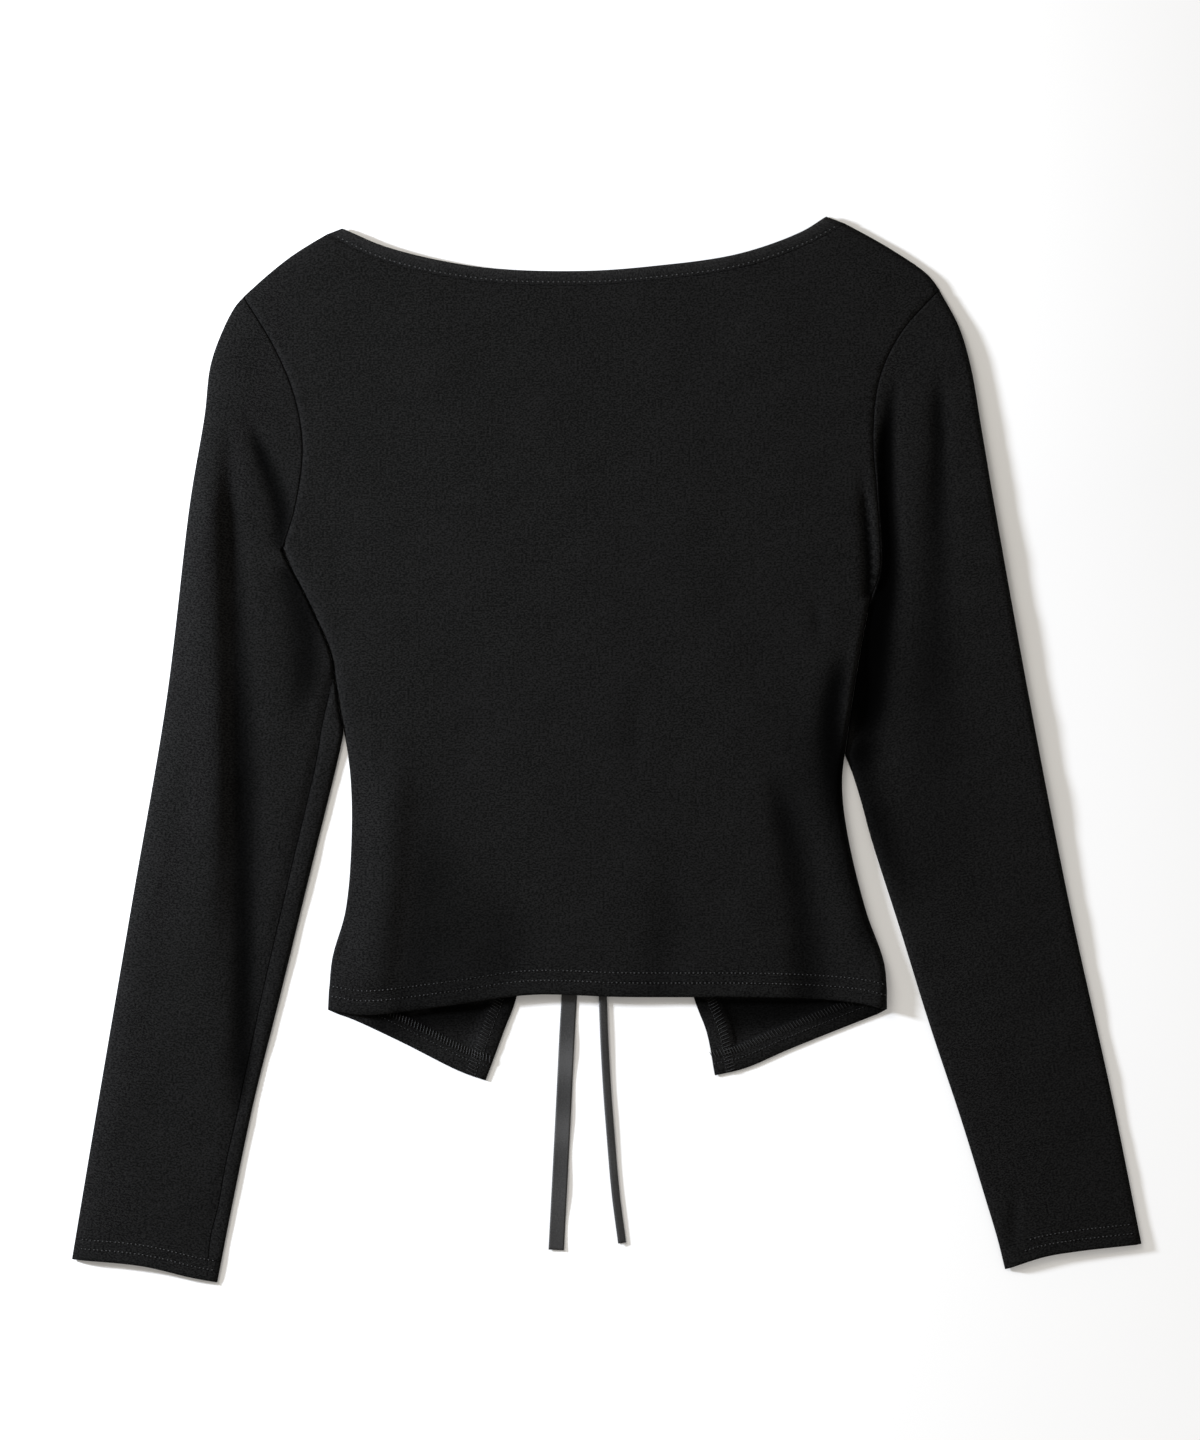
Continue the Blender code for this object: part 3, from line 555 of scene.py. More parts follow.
CURVES = {
    side: {key: curve(metres(line)) for key, line in shape.items()}
    for side, shape in SIDES.items()
}
LEFT, RIGHT = CURVES["left"], CURVES["right"]
HEM, NECK, UNDERARM = (curve(metres(line)) for line in (HEM_BACK, NECK_SEAM, UNDERARM_SEAM))


def sleeve_lines(side):
    """The sleeve's outer and inner edges, downwards, the inner one from the armpit."""
    table, armhole = SIDES[side], CURVES[side]["armhole"]
    body = moved(CURVES[side]["side"], OUT[side] * 0.0003)[::-1]
    body = body[(body[:, 1] > BESIDE_TO[side]) & (body[:, 1] < armhole[0, 1] - 0.003)]
    free = curve(np.vstack([body[-1:], metres(table["sleeve_inner"])]))
    outer = curve(np.vstack([armhole[-1:], metres(table["sleeve_outer"])[1:]]))
    return outer, np.vstack([armhole[:1], body, free[1:]])


SLEEVE_LINES = {side: sleeve_lines(side) for side in SIDES}
# From each cuff up the sleeve's outer edge and along the shoulder: one folded edge.
UPPER_FOLDS = {
    side: np.vstack([SLEEVE_LINES[side][0][::-1], CURVES[side]["shoulder"][1:]]) for side in SIDES
}
BACK_EDGES = [(CURVES[side]["side"], OUT[side], SIDE_ROLL[side]) for side in SIDES]
BACK_EDGES += [(UPPER_FOLDS[side], OUT[side], OUTER_ROLL[side]) for side in SIDES]


def back_depth(points, column="depth"):
    return fold_depth(points, BACK_FOLDS, column)


def back_level(points):
    """The back's height away from its folded edges."""
    x, y = points.T
    middle = np.clip(1 - (x / BODY_HALF_WIDTH) ** 2, 0, 1)
    crown = BODY_CROWN * middle * (1 - ramp(y, *CROWN_ENDS))
    neck = NECK_DROP * middle**2 * ramp(y, *NECK_DROPS)
    hem = HEM_LIFT * ramp(-y, *HEM_LIFTS)
    lift = RIGHT_LIFT * bell(nearest(points, RIGHT["side"])[0], RIGHT_LIFT_WIDTH)
    lift *= ramp(-y, *RIGHT_LIFTS)
    lift += LEFT_LIFT * bell(nearest(points, LEFT["side"])[0], LEFT_LIFT_WIDTH)
    level = TOP_LEVEL + crown + hem - neck + lift + unevenness(points, 0)
    for line in (LEFT["armhole"], RIGHT["armhole"], NECK):
        level -= SEAM_DIP * bell(nearest(points, line)[0], SEAM_DIP_WIDTH)
    return np.maximum(level - back_depth(points), LOWEST_BACK)


def back_surface(points):
    """The back's upper face and how it curls."""
    lift = HEM_EDGE_LIFT * ramp(-points[:, 1], *HEM_EDGE_LIFTS)
    return rolled(points, BACK_EDGES, back_level(points), EDGE_HEIGHT + lift)


def sleeve_depth(points, side, column="depth"):
    """How far a sleeve's folds, and its seam under the arm, lie below its level, or, for the shade
    column, how deep their painted shade is.
    """
    from_armhole = nearest(points, CURVES[side]["armhole"])[0]
    fade = {"depth": 0.0035, "shade": 0.0012}[column]
    down = fold_depth(points, SLEEVE_FOLDS[side], column) * smooth_step(from_armhole / fade)
    if side == "left":
        distance, left, share = beside(points, UNDERARM)
        deep = 0.0011 - 0.0006 * ramp(share, 0.15, 0.35)
        half = np.where(left < 0, 0.0030, 0.0012)
        down += deep * bell(distance, half) * smooth_step((1 - share) / 0.06)
    return down


def sleeve_surface(points, side):
    """A sleeve's upper face and how it curls."""
    shape, out = CURVES[side], OUT[side]
    outer, inner = SLEEVE_LINES[side]
    from_outer, from_inner = nearest(points, outer)[0], nearest(points, inner)[0]
    across = from_outer / (from_outer + from_inner + 1e-9)
    from_armhole, armhole_index = nearest(points, shape["armhole"])
    along = from_armhole / (from_armhole + nearest(points, shape["cuff"])[0] + 1e-9)
    shares, *heights = np.array(SLEEVE_LEVELS[side]).T
    edge, middle, near = (eased(along, shares, height) for height in heights)
    level = edge * (1 - across) * (1 - 2 * across) + middle * 4 * across * (1 - across)
    level += near * across * (2 * across - 1)
    seam_level = back_level(shape["armhole"])[armhole_index] + SEAM_DIP
    begins = 1 - smooth_step(from_armhole / 0.030)
    level = seam_level * begins + level * (1 - begins)
    level -= SEAM_DIP * bell(from_armhole, SEAM_DIP_WIDTH)
    level += unevenness(points, 2 + out) * (1 - begins)
    level = np.maximum(level - sleeve_depth(points, side), 2 * CLOTH + 0.0002)
    edges = [(UPPER_FOLDS[side], out, OUTER_ROLL[side]), (inner, out, INNER_ROLL[side])]
    return rolled(points, edges, level, EDGE_HEIGHT)


def from_turned(points, side):
    """The distance to a front's turned-up edges: its hem and its lower upright edge."""
    edges = (CURVES[side][key] for key in ("front_hem", "front_edge"))
    return np.minimum(*(nearest(points, edge)[0] for edge in edges))


def front_surface(points, side):
    """The upper face of a front: its wrong side, with its turned-up bands."""
    band = 1 - smooth_step((from_turned(points, side) - FRONT_HEM + 0.0004) / 0.0008)
    return CLOTH + (HEM_CLOTH - CLOTH) * band + 0.6 * np.abs(unevenness(points, 5))


# ---------------------------------------------------------------- meshes


def add_mark(mesh, key, values):
    """A value for each of a mesh's points that its material reads."""
    layer = mesh.attributes.new(key, "FLOAT", "POINT")
    layer.data.foreach_set("value", values.astype(np.float32))


def spots_of(thing):
    spots = np.empty(len(thing.data.vertices) * 3)
    thing.data.vertices.foreach_get("co", spots)
    return spots.reshape(-1, 3)[:, :2]


def cloth_object(name, points, faces, uv, marks, material, source=None):
    """A smooth mesh of the points that the faces use, with a map of the cloth's grain, in
    millimetres, and distances as marks. source gives each point's place in the map and marks."""
    used = np.zeros(len(points), bool)
    for face in faces:
        used[list(face)] = True
    new = np.cumsum(used) - 1
    source = (np.arange(len(points)) if source is None else source)[used]
    mesh = bpy.data.meshes.new(name)
    mesh.from_pydata(points[used].tolist(), [], [[int(new[i]) for i in face] for face in faces])
    corner = np.empty(len(mesh.loops), int)
    mesh.loops.foreach_get("vertex_index", corner)
    layer = mesh.uv_layers.new(name="grain")
    layer.data.foreach_set("uv", (uv[source][corner] * 1000).astype(np.float32).ravel())
    for key, values in marks.items():
        add_mark(mesh, key, values[source] * 1000)
    mesh.shade_smooth()
    mesh.materials.append(material)
    return add_object(name, mesh)


def add_object(name, data):
    thing = bpy.data.objects.new(name, data)
    bpy.context.scene.collection.objects.link(thing)
    return thing


def placed(thing, slot, *nodes):
    """The piece rides on the part's body, and stands for these nodes of the CAD."""
    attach(thing, "root")
    if nodes:
        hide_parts(*nodes)
    return thing


def rounded_rim(over, under, points, edges, bulge=0.3):
    """Vertices half way down a rim, pushed out, and for each of them its plan point's index."""
    corners = sorted({i for edge in edges for i in edge})
    normal = {i: np.zeros(2) for i in corners}
    for a, b in edges:
        run = points[b] - points[a]
        out = np.array([run[1], -run[0]]) / (np.linalg.norm(run) + 1e-12)
        normal[a] += out
        normal[b] += out
    push = np.array([normal[i] / (np.linalg.norm(normal[i]) + 1e-12) for i in corners])
    middle = (over[corners] + under[corners]) / 2
    thick = np.linalg.norm(over[corners] - under[corners], axis=1)
    middle[:, :2] += push * (bulge * thick)[:, None]
    return middle, corners


def shell(name, layers, folded, points, triangles, uv, marks, material):
    """One wall or two, one over the other, with rounded rims, all of the same triangles. layers
    are each wall's two faces, from the top down, which go on from one wall into the other at the
    points where folded is true."""
    n = len(points)
    triangles = facing_up(points, triangles)
    index = [np.arange(n) + n * i for i in range(len(layers))]
    for i in range(2, len(layers)):
        index[i][folded] = index[3 - i][folded]
    faces = []
    for layer, turn in zip(index, (1, -1, 1, -1)):
        faces += layer[triangles[:, ::turn]].tolist()
    edges = [(a, b) for a, b in rim(triangles) if not (folded[a] and folded[b])]
    vertices, source = [*layers], [np.arange(n)] * len(layers)
    base, shared = len(layers) * n, {}
    for first in range(0, len(layers), 2):
        middle, corners = rounded_rim(layers[first], layers[first + 1], points, edges)
        place = {corner: base + k for k, corner in enumerate(corners)} | shared
        shared = {corner: spot for corner, spot in place.items() if folded[corner]}
        base += len(corners)
        vertices.append(middle)
        source.append(np.array(corners))
        over, under = index[first], index[first + 1]
        for a, b in edges:
            faces.append((over[b], over[a], place[a], place[b]))
            faces.append((place[b], place[a], under[a], under[b]))
    source = np.concatenate(source)
    return cloth_object(name, np.vstack(vertices), faces, uv, marks, material, source)


def strip(name, sides, uv, marks, material):
    """A closed band between two grids of points, rows by columns, that may meet at their edges."""
    rows, columns = sides[0].shape[:2]
    n = rows * columns
    grid = np.arange(n).reshape(rows, columns)
    a, b, c, d = grid[:-1, :-1], grid[:-1, 1:], grid[1:, 1:], grid[1:, :-1]
    quads = np.stack([a, b, c, d], axis=-1).reshape(-1, 4)
    apart = np.linalg.norm(sides[0] - sides[1], axis=2).ravel() > TOUCHING
    below = np.arange(n) + n * apart
    faces = quads.tolist() + below[quads[:, ::-1]].tolist()
    ring = [*grid[0], *grid[1:, -1], *grid[-1, -2::-1], *grid[-2:0:-1, 0]]
    for i, j in zip(ring, ring[1:] + ring[:1]):
        face = list(dict.fromkeys((int(j), int(i), int(below[i]), int(below[j]))))
        if len(face) > 2:
            faces.append(face)
    points = np.vstack([side.reshape(-1, 3) for side in sides])
    marks = {key: values.ravel() for key, values in marks.items()}
    source = np.tile(np.arange(n), 2)
    return cloth_object(name, points, faces, uv.reshape(-1, 2), marks, material, source)


def ring_faces(rings, sides, base=0):
    """The faces of a tube made of rings of points, closed at its two ends."""
    index = base + np.arange(rings * sides).reshape(rings, sides)
    turned = np.roll(index, -1, axis=1)
    faces = np.stack([index[:-1], turned[:-1], turned[1:], index[1:]], axis=-1)
    return faces.reshape(-1, 4).tolist() + [index[0, ::-1].tolist(), index[-1].tolist()]


def tubes(name, paths, radius, sides, material, flat):
    """Many short threads in one mesh. Each path is a run of points, thin at its two ends."""
    vertices, faces, uv, base = [], [], [], 0
    turn = np.linspace(0, 2 * np.pi, sides, endpoint=False)
    for path in paths:
        run = np.gradient(path, axis=0)
        run /= np.linalg.norm(run, axis=1)[:, None] + 1e-12
        across = np.cross(run, [0, 0, 1.0])
        across /= np.linalg.norm(across, axis=1)[:, None] + 1e-12
        up = np.cross(across, run)
        share = np.linspace(0, 1, len(path))
        size = (radius * np.clip(np.sqrt(1 - (2 * share - 1) ** 8), 0.35, 1))[:, None, None]
        ring = path[:, None] + across[:, None] * (np.cos(turn)[None, :, None] * size)
        ring = ring + up[:, None] * (np.sin(turn)[None, :, None] * size * flat)
        vertices.append(ring.reshape(-1, 3))
        uv.append(np.stack([np.repeat(share * len(path), sides), np.tile(turn, len(path))], axis=1))
        faces += ring_faces(len(path), sides, base)
        base += len(path) * sides
    return cloth_object(name, np.vstack(vertices), faces, np.vstack(uv) / 1000, {}, material)


# ---------------------------------------------------------------- materials


class Nodes:
    """A short way to write a material's nodes."""

    def __init__(self, name):
        self.material = bpy.data.materials.new(name)
        self.material.use_nodes = True
        self.tree = self.material.node_tree
        self.shader = self.tree.nodes["Principled BSDF"]

    def set(self, socket, value):
        if isinstance(value, bpy.types.NodeSocket):
            self.tree.links.new(value, socket)
        else:
            socket.default_value = value

    def node(self, kind, *values, **settings):
        """A new node with these values or links in its first inputs."""
        node = self.tree.nodes.new("ShaderNode" + kind)
        for key, value in settings.items():
            setattr(node, key, value)
        for socket, value in zip(node.inputs, values):
            self.set(socket, value)
        return node

    def math(self, operation, *values):
        return self.node("Math", *values, operation=operation).outputs[0]

    def times(self, first, second):
        return self.math("MULTIPLY", first, second)

    def plus(self, first, second):
        return self.math("ADD", first, second)

    def minus(self, first, second):
        return self.math("SUBTRACT", first, second)

    def clamped(self, value, low, high):
        return self.math("MINIMUM", self.math("MAXIMUM", value, low), high)

    def wave(self, value, rate=2 * np.pi):
        return self.math("SINE", self.times(value, rate))

    def spread(self, value, low, high):
        """A value from 0..1 spread over low..high."""
        return self.math("MULTIPLY_ADD", value, high - low, low)

    def falling(self, value, rate):
        """1 where the value is 0, and falling with its square."""
        return self.math("EXPONENT", self.times(self.times(value, value), -rate))

    def bell(self, value, half):
        return self.falling(self.math("DIVIDE", value, half), 1.0)

    def noise(self, vector, scale, detail=2.0):
        node = self.node("TexNoise", vector)
        node.inputs["Scale"].default_value = scale
        node.inputs["Detail"].default_value = detail
        return node.outputs["Fac"]

    def stretched(self, vector, scale):
        return self.node("VectorMath", vector, scale, operation="MULTIPLY").outputs[0]

    def mark(self, name):
        return self.node("Attribute", attribute_name=name).outputs["Fac"]

    def mix(self, share, first, second):
        node = self.node("Mix", share, data_type="RGBA")
        for socket, value in ((node.inputs[6], first), (node.inputs[7], second)):
            self.set(socket, (*value, 1) if isinstance(value, tuple) else value)
        return node.outputs[2]

    def paint(self, colour):
        self.set(self.shader.inputs["Base Color"], colour)

    def bump(self, height, strength=1.0, distance=0.001):
        node = self.node("Bump")
        self.set(node.inputs["Height"], height)
        node.inputs["Strength"].default_value = strength
        node.inputs["Distance"].default_value = distance
        self.set(self.shader.inputs["Normal"], node.outputs[0])

    def parts(self, vector):
        """A vector's x and y."""
        return tuple(self.node("SeparateXYZ", vector).outputs)[:2]

    def grain(self):
        """The map of the cloth's grain: its vector, and across and along it, in millimetres."""
        vector = self.node("UVMap", uv_map="grain").outputs[0]
        return vector, *self.parts(vector)

    def finish(self, roughness, specular, sheen=0.0, sheen_roughness=0.5):
        inputs = self.shader.inputs
        inputs["Roughness"].default_value = roughness
        inputs["Specular IOR Level"].default_value = specular
        inputs["Sheen Weight"].default_value = sheen
        inputs["Sheen Roughness"].default_value = sheen_roughness
        return self.material


WALE, COURSE = 0.72, 0.56  # the knit's columns and rows, in millimetres
PAINTED_SHADE_RATE = 0.22  # how fast the painted shade of a fold darkens with the square of its depth in millimetres
RIBS, WARP = 0.34, 0.21  # the satin's ribs and threads, in millimetres


def knit(nodes, inside_out):
    """The relief of plain jersey, from its map: V stitches outside, rows of loops inside."""
    vector, u, v = nodes.grain()
    drift = nodes.spread(nodes.noise(vector, 0.35), -0.5, 0.5)
    column = nodes.plus(nodes.math("DIVIDE", u, WALE), nodes.times(drift, 0.7))
    off = nodes.math("ABSOLUTE", nodes.minus(nodes.math("FRACT", column), 0.5))
    row = nodes.plus(nodes.math("DIVIDE", v, COURSE), drift)
    if inside_out:
        swell = nodes.times(nodes.minus(0.5, off), 0.5)
        wave, legs = nodes.wave(nodes.plus(row, swell)), nodes.minus(0.8, off)
    else:
        slant = nodes.times(off, 1.5)
        wave, legs = nodes.wave(nodes.plus(row, slant)), nodes.wave(off)
    relief = nodes.times(nodes.spread(wave, 0.4, 1.0), legs)
    return vector, nodes.plus(relief, nodes.times(nodes.noise(vector, 2.6, 3.0), 0.8))


def jersey_material(name, dark, light, inside_out=False):
    """Black cotton jersey, with its knit, fine relief along its seams, rows and hems, and painted
    shade where its deep mark says.
    """
    nodes = Nodes(name)
    vector, relief = knit(nodes, inside_out)
    streaks = nodes.stretched(vector, (0.7, 1.0, 1.0))
    blotch, speck = nodes.noise(streaks, 0.40), nodes.noise(streaks, 1.15, 1.0)
    share = nodes.plus(nodes.times(blotch, 0.18), nodes.times(speck, 0.82))
    cloud = nodes.noise(nodes.stretched(vector, (0.5, 1.0, 1.0)), 0.060)
    share = nodes.math("MULTIPLY_ADD", share, 5.0, -2.0)
    share = nodes.clamped(nodes.plus(share, nodes.spread(cloud, -0.17, 0.17)), 0.0, 1.0)
    colour = nodes.mix(share, dark, light)
    seam = nodes.bell(nodes.mark("seam"), 0.36)
    colour = nodes.mix(nodes.times(seam, 0.80), colour, tuple(c * 0.2 for c in dark))
    # Painted shade: the deep mark darkens the colour towards black, in folds, below the back's hem
    # and at the binding's seam.
    painted_shade_factor = nodes.falling(nodes.mark("deep"), PAINTED_SHADE_RATE)
    colour = nodes.mix(nodes.minus(1.0, painted_shade_factor), colour, (0.0002, 0.0002, 0.0002))
    row = nodes.mark("row")
    holes = nodes.times(nodes.bell(row, 0.42), 0.75)
    nodes.paint(nodes.mix(holes, colour, tuple(c * 0.4 for c in dark)))
    height = nodes.times(relief, 0.07)
    height = nodes.plus(height, nodes.times(nodes.noise(vector, 0.12, 3.0), 0.5))
    height = nodes.minus(height, nodes.times(seam, 0.35))
    height = nodes.minus(height, nodes.times(nodes.bell(row, 0.9), 0.22))
    turn = nodes.clamped(nodes.mark("turn"), -0.5, 0.5)
    nodes.bump(nodes.minus(height, nodes.times(turn, 0.16)))
    return nodes.finish(0.95, 0.02)


def satin_material(name, dark, light):
    """Charcoal satin ribbon: fine cross ribs, a slightly thicker selvage, and painted sheen where
    its ripple mark says.
    """
    nodes = Nodes(name)
    vector, u, v = nodes.grain()
    speck = nodes.spread(nodes.noise(vector, 1.1, 1.0), -0.75, 0.75)
    # Painted sheen: the ripple mark makes the ribbon lighter where it would catch the light; the
    # specks are its own random tone.
    share = nodes.clamped(nodes.plus(nodes.mark("ripple"), speck), 0.0, 1.2)
    nodes.paint(nodes.mix(share, dark, light))
    ribs, warp = (nodes.wave(*at) for at in ((v, 2 * np.pi / RIBS), (u, 2 * np.pi / WARP)))
    height = nodes.plus(nodes.times(ribs, 0.012), nodes.times(warp, 0.006))
    edge = nodes.bell(nodes.minus(nodes.math("ABSOLUTE", u), 4.2), 0.25)
    nodes.bump(nodes.plus(height, nodes.times(edge, 0.05)))
    return nodes.finish(0.42, 0.4, 0.05, 0.4)


def thread_material(name, colour):
    nodes = Nodes(name)
    _, u, v = nodes.grain()
    # Painted shade: the thread darkens towards black where the deep mark says.
    nodes.paint(nodes.mix(nodes.falling(nodes.mark("deep"), PAINTED_SHADE_RATE), (0.0003,) * 3, colour))
    nodes.bump(nodes.wave(nodes.plus(u, v), 4.0), 0.4, 0.0001)
    return nodes.finish(0.6, 0.3)


# ---------------------------------------------------------------- the cloth pieces


def marks_of(points, seams=(), rows=(), turn=-FAR, deep=0.0):
    """The marks that the cloth's material reads: distances, and deep, the depth of its painted
    shade.
    seams and rows are lists of a line and of what is added to the distance from it, or how far
    from it the row runs."""
    seam, row = np.full(len(points), FAR), np.full(len(points), FAR)
    for line, faint in seams:
        seam = np.minimum(seam, nearest(points, line)[0] + faint)
    for line, distance in rows:
        row = np.minimum(row, np.abs(nearest(points, line)[0] - distance))
    turn, deep = (np.broadcast_to(value, len(points)) for value in (turn, deep))
    return {"seam": seam, "row": row, "turn": turn, "deep": np.maximum(deep, 0)}


def panel(name, points, triangles, heights, under, marks, jerseys, lined):
    """One layer of cloth between two heights. Its lower face stands over the points of under, and
    its faces that look up or down, as lined says, 1 or -1, have the second material."""
    layers = [with_height(*face) for face in zip((points, under), heights)]
    none = np.zeros(len(points), bool)
    thing = shell(name, layers, none, points, triangles, points, marks, jerseys[0])
    mesh = thing.data
    mesh.materials.append(jerseys[1])
    normals = np.empty(len(mesh.polygons) * 3)
    mesh.polygons.foreach_get("normal", normals)
    up = normals.reshape(-1, 3)[:, 2]
    mesh.polygons.foreach_set("material_index", (lined * up > 0.3).astype(int))
    mesh.update()
    return thing


def outline(forth, back, step):
    """A closed run of lines, those of back from their ends to their starts."""
    return [stepped(line, step) for line in forth] + [stepped(line, step)[::-1] for line in back]


def make_back(jerseys):
    forth = [LEFT[key] for key in ("side", "armhole", "shoulder")] + [NECK]
    back = [RIGHT[key] for key in ("shoulder", "armhole", "side")] + [HEM]
    lines = outline(forth, back, CLOTH_STEP)
    folded = [(CURVES[side][key], OUT[side]) for key in ("side", "shoulder") for side in SIDES]
    more = []
    for line, sign in ((HEM, 1), (LEFT["armhole"], 1), (RIGHT["armhole"], -1), (NECK, -1)):
        more += rows_beside(line, [sign * d for d in SEAM_LINES], CLOTH_STEP)
    more += rows_beside(HEM, (BACK_HEM, BACK_HEM + 0.0012), CLOTH_STEP)
    points, triangles = plan(lines, folded, EDGE_LINES, CLOTH_STEP, more)
    height, lean, up, outwards, rise = back_surface(points)
    in_hem = nearest(points, HEM)[0] < BACK_HEM + 0.0006
    thickness = CLOTH + np.where(in_hem, (HEM_CLOTH - CLOTH) * rise**2, 0)
    under = points - outwards * (lean * thickness)[:, None]
    seams = [(LEFT["armhole"], 0), (RIGHT["armhole"], 0), (NECK, NECK_FAINT)]
    # deep: the painted shade of the back's folds.
    marks = marks_of(points, seams, [(HEM, d) for d in BACK_ROWS], deep=back_depth(points, "shade"))
    heights = (height, height - up * thickness)
    thing = panel("back_cloth", points, triangles, heights, under, marks, jerseys, -1)
    return placed(thing, "black_jersey", "back")


SHADE_COLUMNS = ("depth", "reach", "over_bands", "bands_reach", "less_at_corner")
HEM_SHADES = {
    "left": (0.0031, 0.019, 0.80, 0.019, 0.80),
    "right": (0.0030, 0.028, 0.95, 0.0155, 0.25),
}


def hem_shade(points, side):
    """The painted shade on a front below the back's hem, as a depth; less over its turned-up bands.
    """
    shade = dict(zip(SHADE_COLUMNS, HEM_SHADES[side]))
    below = points[:, 1] < np.interp(points[:, 0], HEM[:, 0], HEM[:, 1])
    distance = nearest(points, HEM)[0]
    inner = smooth_step((from_turned(points, side) - FRONT_HEM + 0.003) / 0.004)
    share = inner * bell(distance, shade["reach"])
    share += (1 - inner) * shade["over_bands"] * bell(distance, shade["bands_reach"])
    share *= 1 - shade["less_at_corner"] * ramp(np.abs(points[:, 0]), 0.130, 0.016)
    return below * shade["depth"] * share


def make_front(side, jerseys):
    shape, out = CURVES[side], OUT[side]
    forth = [shape[key] for key in ("side", "armhole", "shoulder")]
    back = [shape[key] for key in ("front_neck", "front_edge", "front_hem")]
    turned = [(shape["front_hem"], -out), (shape["front_edge"], -out)]
    rim_width = 0.0012
    distances = (0.0004, rim_width, FRONT_HEM - 0.0005, FRONT_HEM + 0.0007)
    points, triangles = plan(outline(forth, back, FRONT_STEP), turned, distances, FRONT_STEP)
    deep = from_turned(points, side)
    near, top = deep < rim_width, front_surface(points, side)
    top = np.where(near, np.minimum(top, 0.0011 + 0.0005 * smooth_step(deep / rim_width)), top)
    base = np.where(near, 0.0004 * (1 - deep / rim_width), 0)
    rows = [(shape["front_hem"], FRONT_ROWS[side][0])]
    # deep: the painted shade below the back's hem.
    marks = marks_of(points, (), rows, deep - FRONT_HEM, hem_shade(points, side))
    name = f"front_{side}_cloth"
    thing = panel(name, points, triangles, (top, base), points, marks, jerseys, 1)
    return placed(thing, "black_jersey", f"front_{side}")


def make_sleeve(side, jerseys):
    out, (outer, inner) = OUT[side], SLEEVE_LINES[side]
    armhole, cuff = CURVES[side]["armhole"], CURVES[side]["cuff"]
    lines = [stepped(armhole, CLOTH_STEP)] + outline([outer, cuff], [inner], SLEEVE_STEP)
    folded = [(outer, -out), (inner, out)]
    more = rows_beside(armhole, [out * d for d in SEAM_LINES], CLOTH_STEP)
    more += rows_beside(cuff, [out * d for d in SEAM_LINES], SLEEVE_STEP)
    seams = [(armhole, 0)]
    if side == "left":
        seams.append((UNDERARM, 0))
        more += rows_beside(UNDERARM, (0, -0.0012, -0.0026, 0.0012), SLEEVE_STEP)
    points, triangles = plan(lines, folded, EDGE_LINES, SLEEVE_STEP, more)
    over = sleeve_surface(points, side)
    under = rolled(points, [(line, sign, UNDER_ROLL) for line, sign in folded], 0, EDGE_HEIGHT)
    # At the armhole and at the cuff the inner faces shift along these lines and stay on them. A
    # line that nearly runs along the fold would shift them too far without a least share.
    aside, least = over[3].copy(), 0.6
    for line in (armhole, cuff):
        distance, index = nearest(points, line)
        here = distance < TOUCHING
        run = left_normals(line)[index] @ np.array([[0, -1], [1, 0]])
        facing = (run * over[3]).sum(axis=1)
        facing = np.where(np.abs(facing) < least, np.sign(facing + 1e-9) * least, facing)
        aside[here] = (run / facing[:, None])[here]
    shift = [aside * (face[1] * CLOTH)[:, None] for face in (over, under)]
    layers = [
        with_height(points, over[0]),
        with_height(points - shift[0], over[0] - over[2] * CLOTH),
        with_height(points + shift[1], under[0] + np.abs(under[2]) * CLOTH),
        with_height(points, np.clip(under[0], 0, None)),
    ]
    on_fold = np.minimum(nearest(points, outer)[0], nearest(points, inner)[0]) < TOUCHING
    rows = [(cuff, d) for d in CUFF_ROWS]
    # deep: the painted shade of the sleeve's folds, and on the left of its seam under the arm.
    marks = marks_of(points, seams, rows, deep=sleeve_depth(points, side, "shade"))
    run = outer[-1] - outer[0]
    run /= np.linalg.norm(run)
    uv = np.stack([points @ np.array([-run[1], run[0]]), -points @ run], axis=1)
    name = f"sleeve_{side}_cloth"
    thing = shell(name, layers, on_fold, points, triangles, uv, marks, jerseys[0])
    thing.data.materials.append(jerseys[1])
    return placed(thing, "black_jersey", f"sleeve_{side}")


def fullness(c):
    """How full a binding's upper and lower face are across it, from its edge at 0 to its seam at
    1, as a share of the most."""
    rounded = np.sqrt(np.clip(1 - (2 * c - 1) ** 4, 0, 1))
    return np.where(c < 0.5, rounded, 1 - BINDING_FALL * (2 * c - 1) ** 4), rounded


def band(node, edge, seam, base, top, jersey):
    """A folded binding between its edge and its seam, full in the middle."""
    c = (1 - np.cos(np.linspace(0, np.pi, 13)))[None] / 2
    points = edge[:, None] * (1 - c)[..., None] + seam[:, None] * c[..., None]
    width = np.linalg.norm(edge - seam, axis=1)[:, None]
    from_seam = (1 - c) * width
    middle, half = (top + base)[:, None] / 2, (top - base)[:, None] / 2
    upper, lower = fullness(c)
    over = middle + half * upper - NECK_DIMPLE * bell(from_seam - NECK_ROW, 0.0009)
    under = middle - half * lower
    uv = np.stack([c * width, np.broadcast_to(run_of(seam)[:, None], over.shape)], axis=-1)
    far = np.full(over.shape, FAR)
    # Painted shade, deeper towards the seam.
    deep = BINDING_SHADE * c**BINDING_SHADE_POWER + 0 * over
    marks = {"seam": from_seam + NECK_FAINT, "row": far, "turn": -far, "deep": deep}
    sides = [np.concatenate([points, z[..., None]], axis=-1) for z in (over, under)]
    return placed(strip(f"{node}_cloth", sides, uv, marks, jersey), "black_jersey", node)


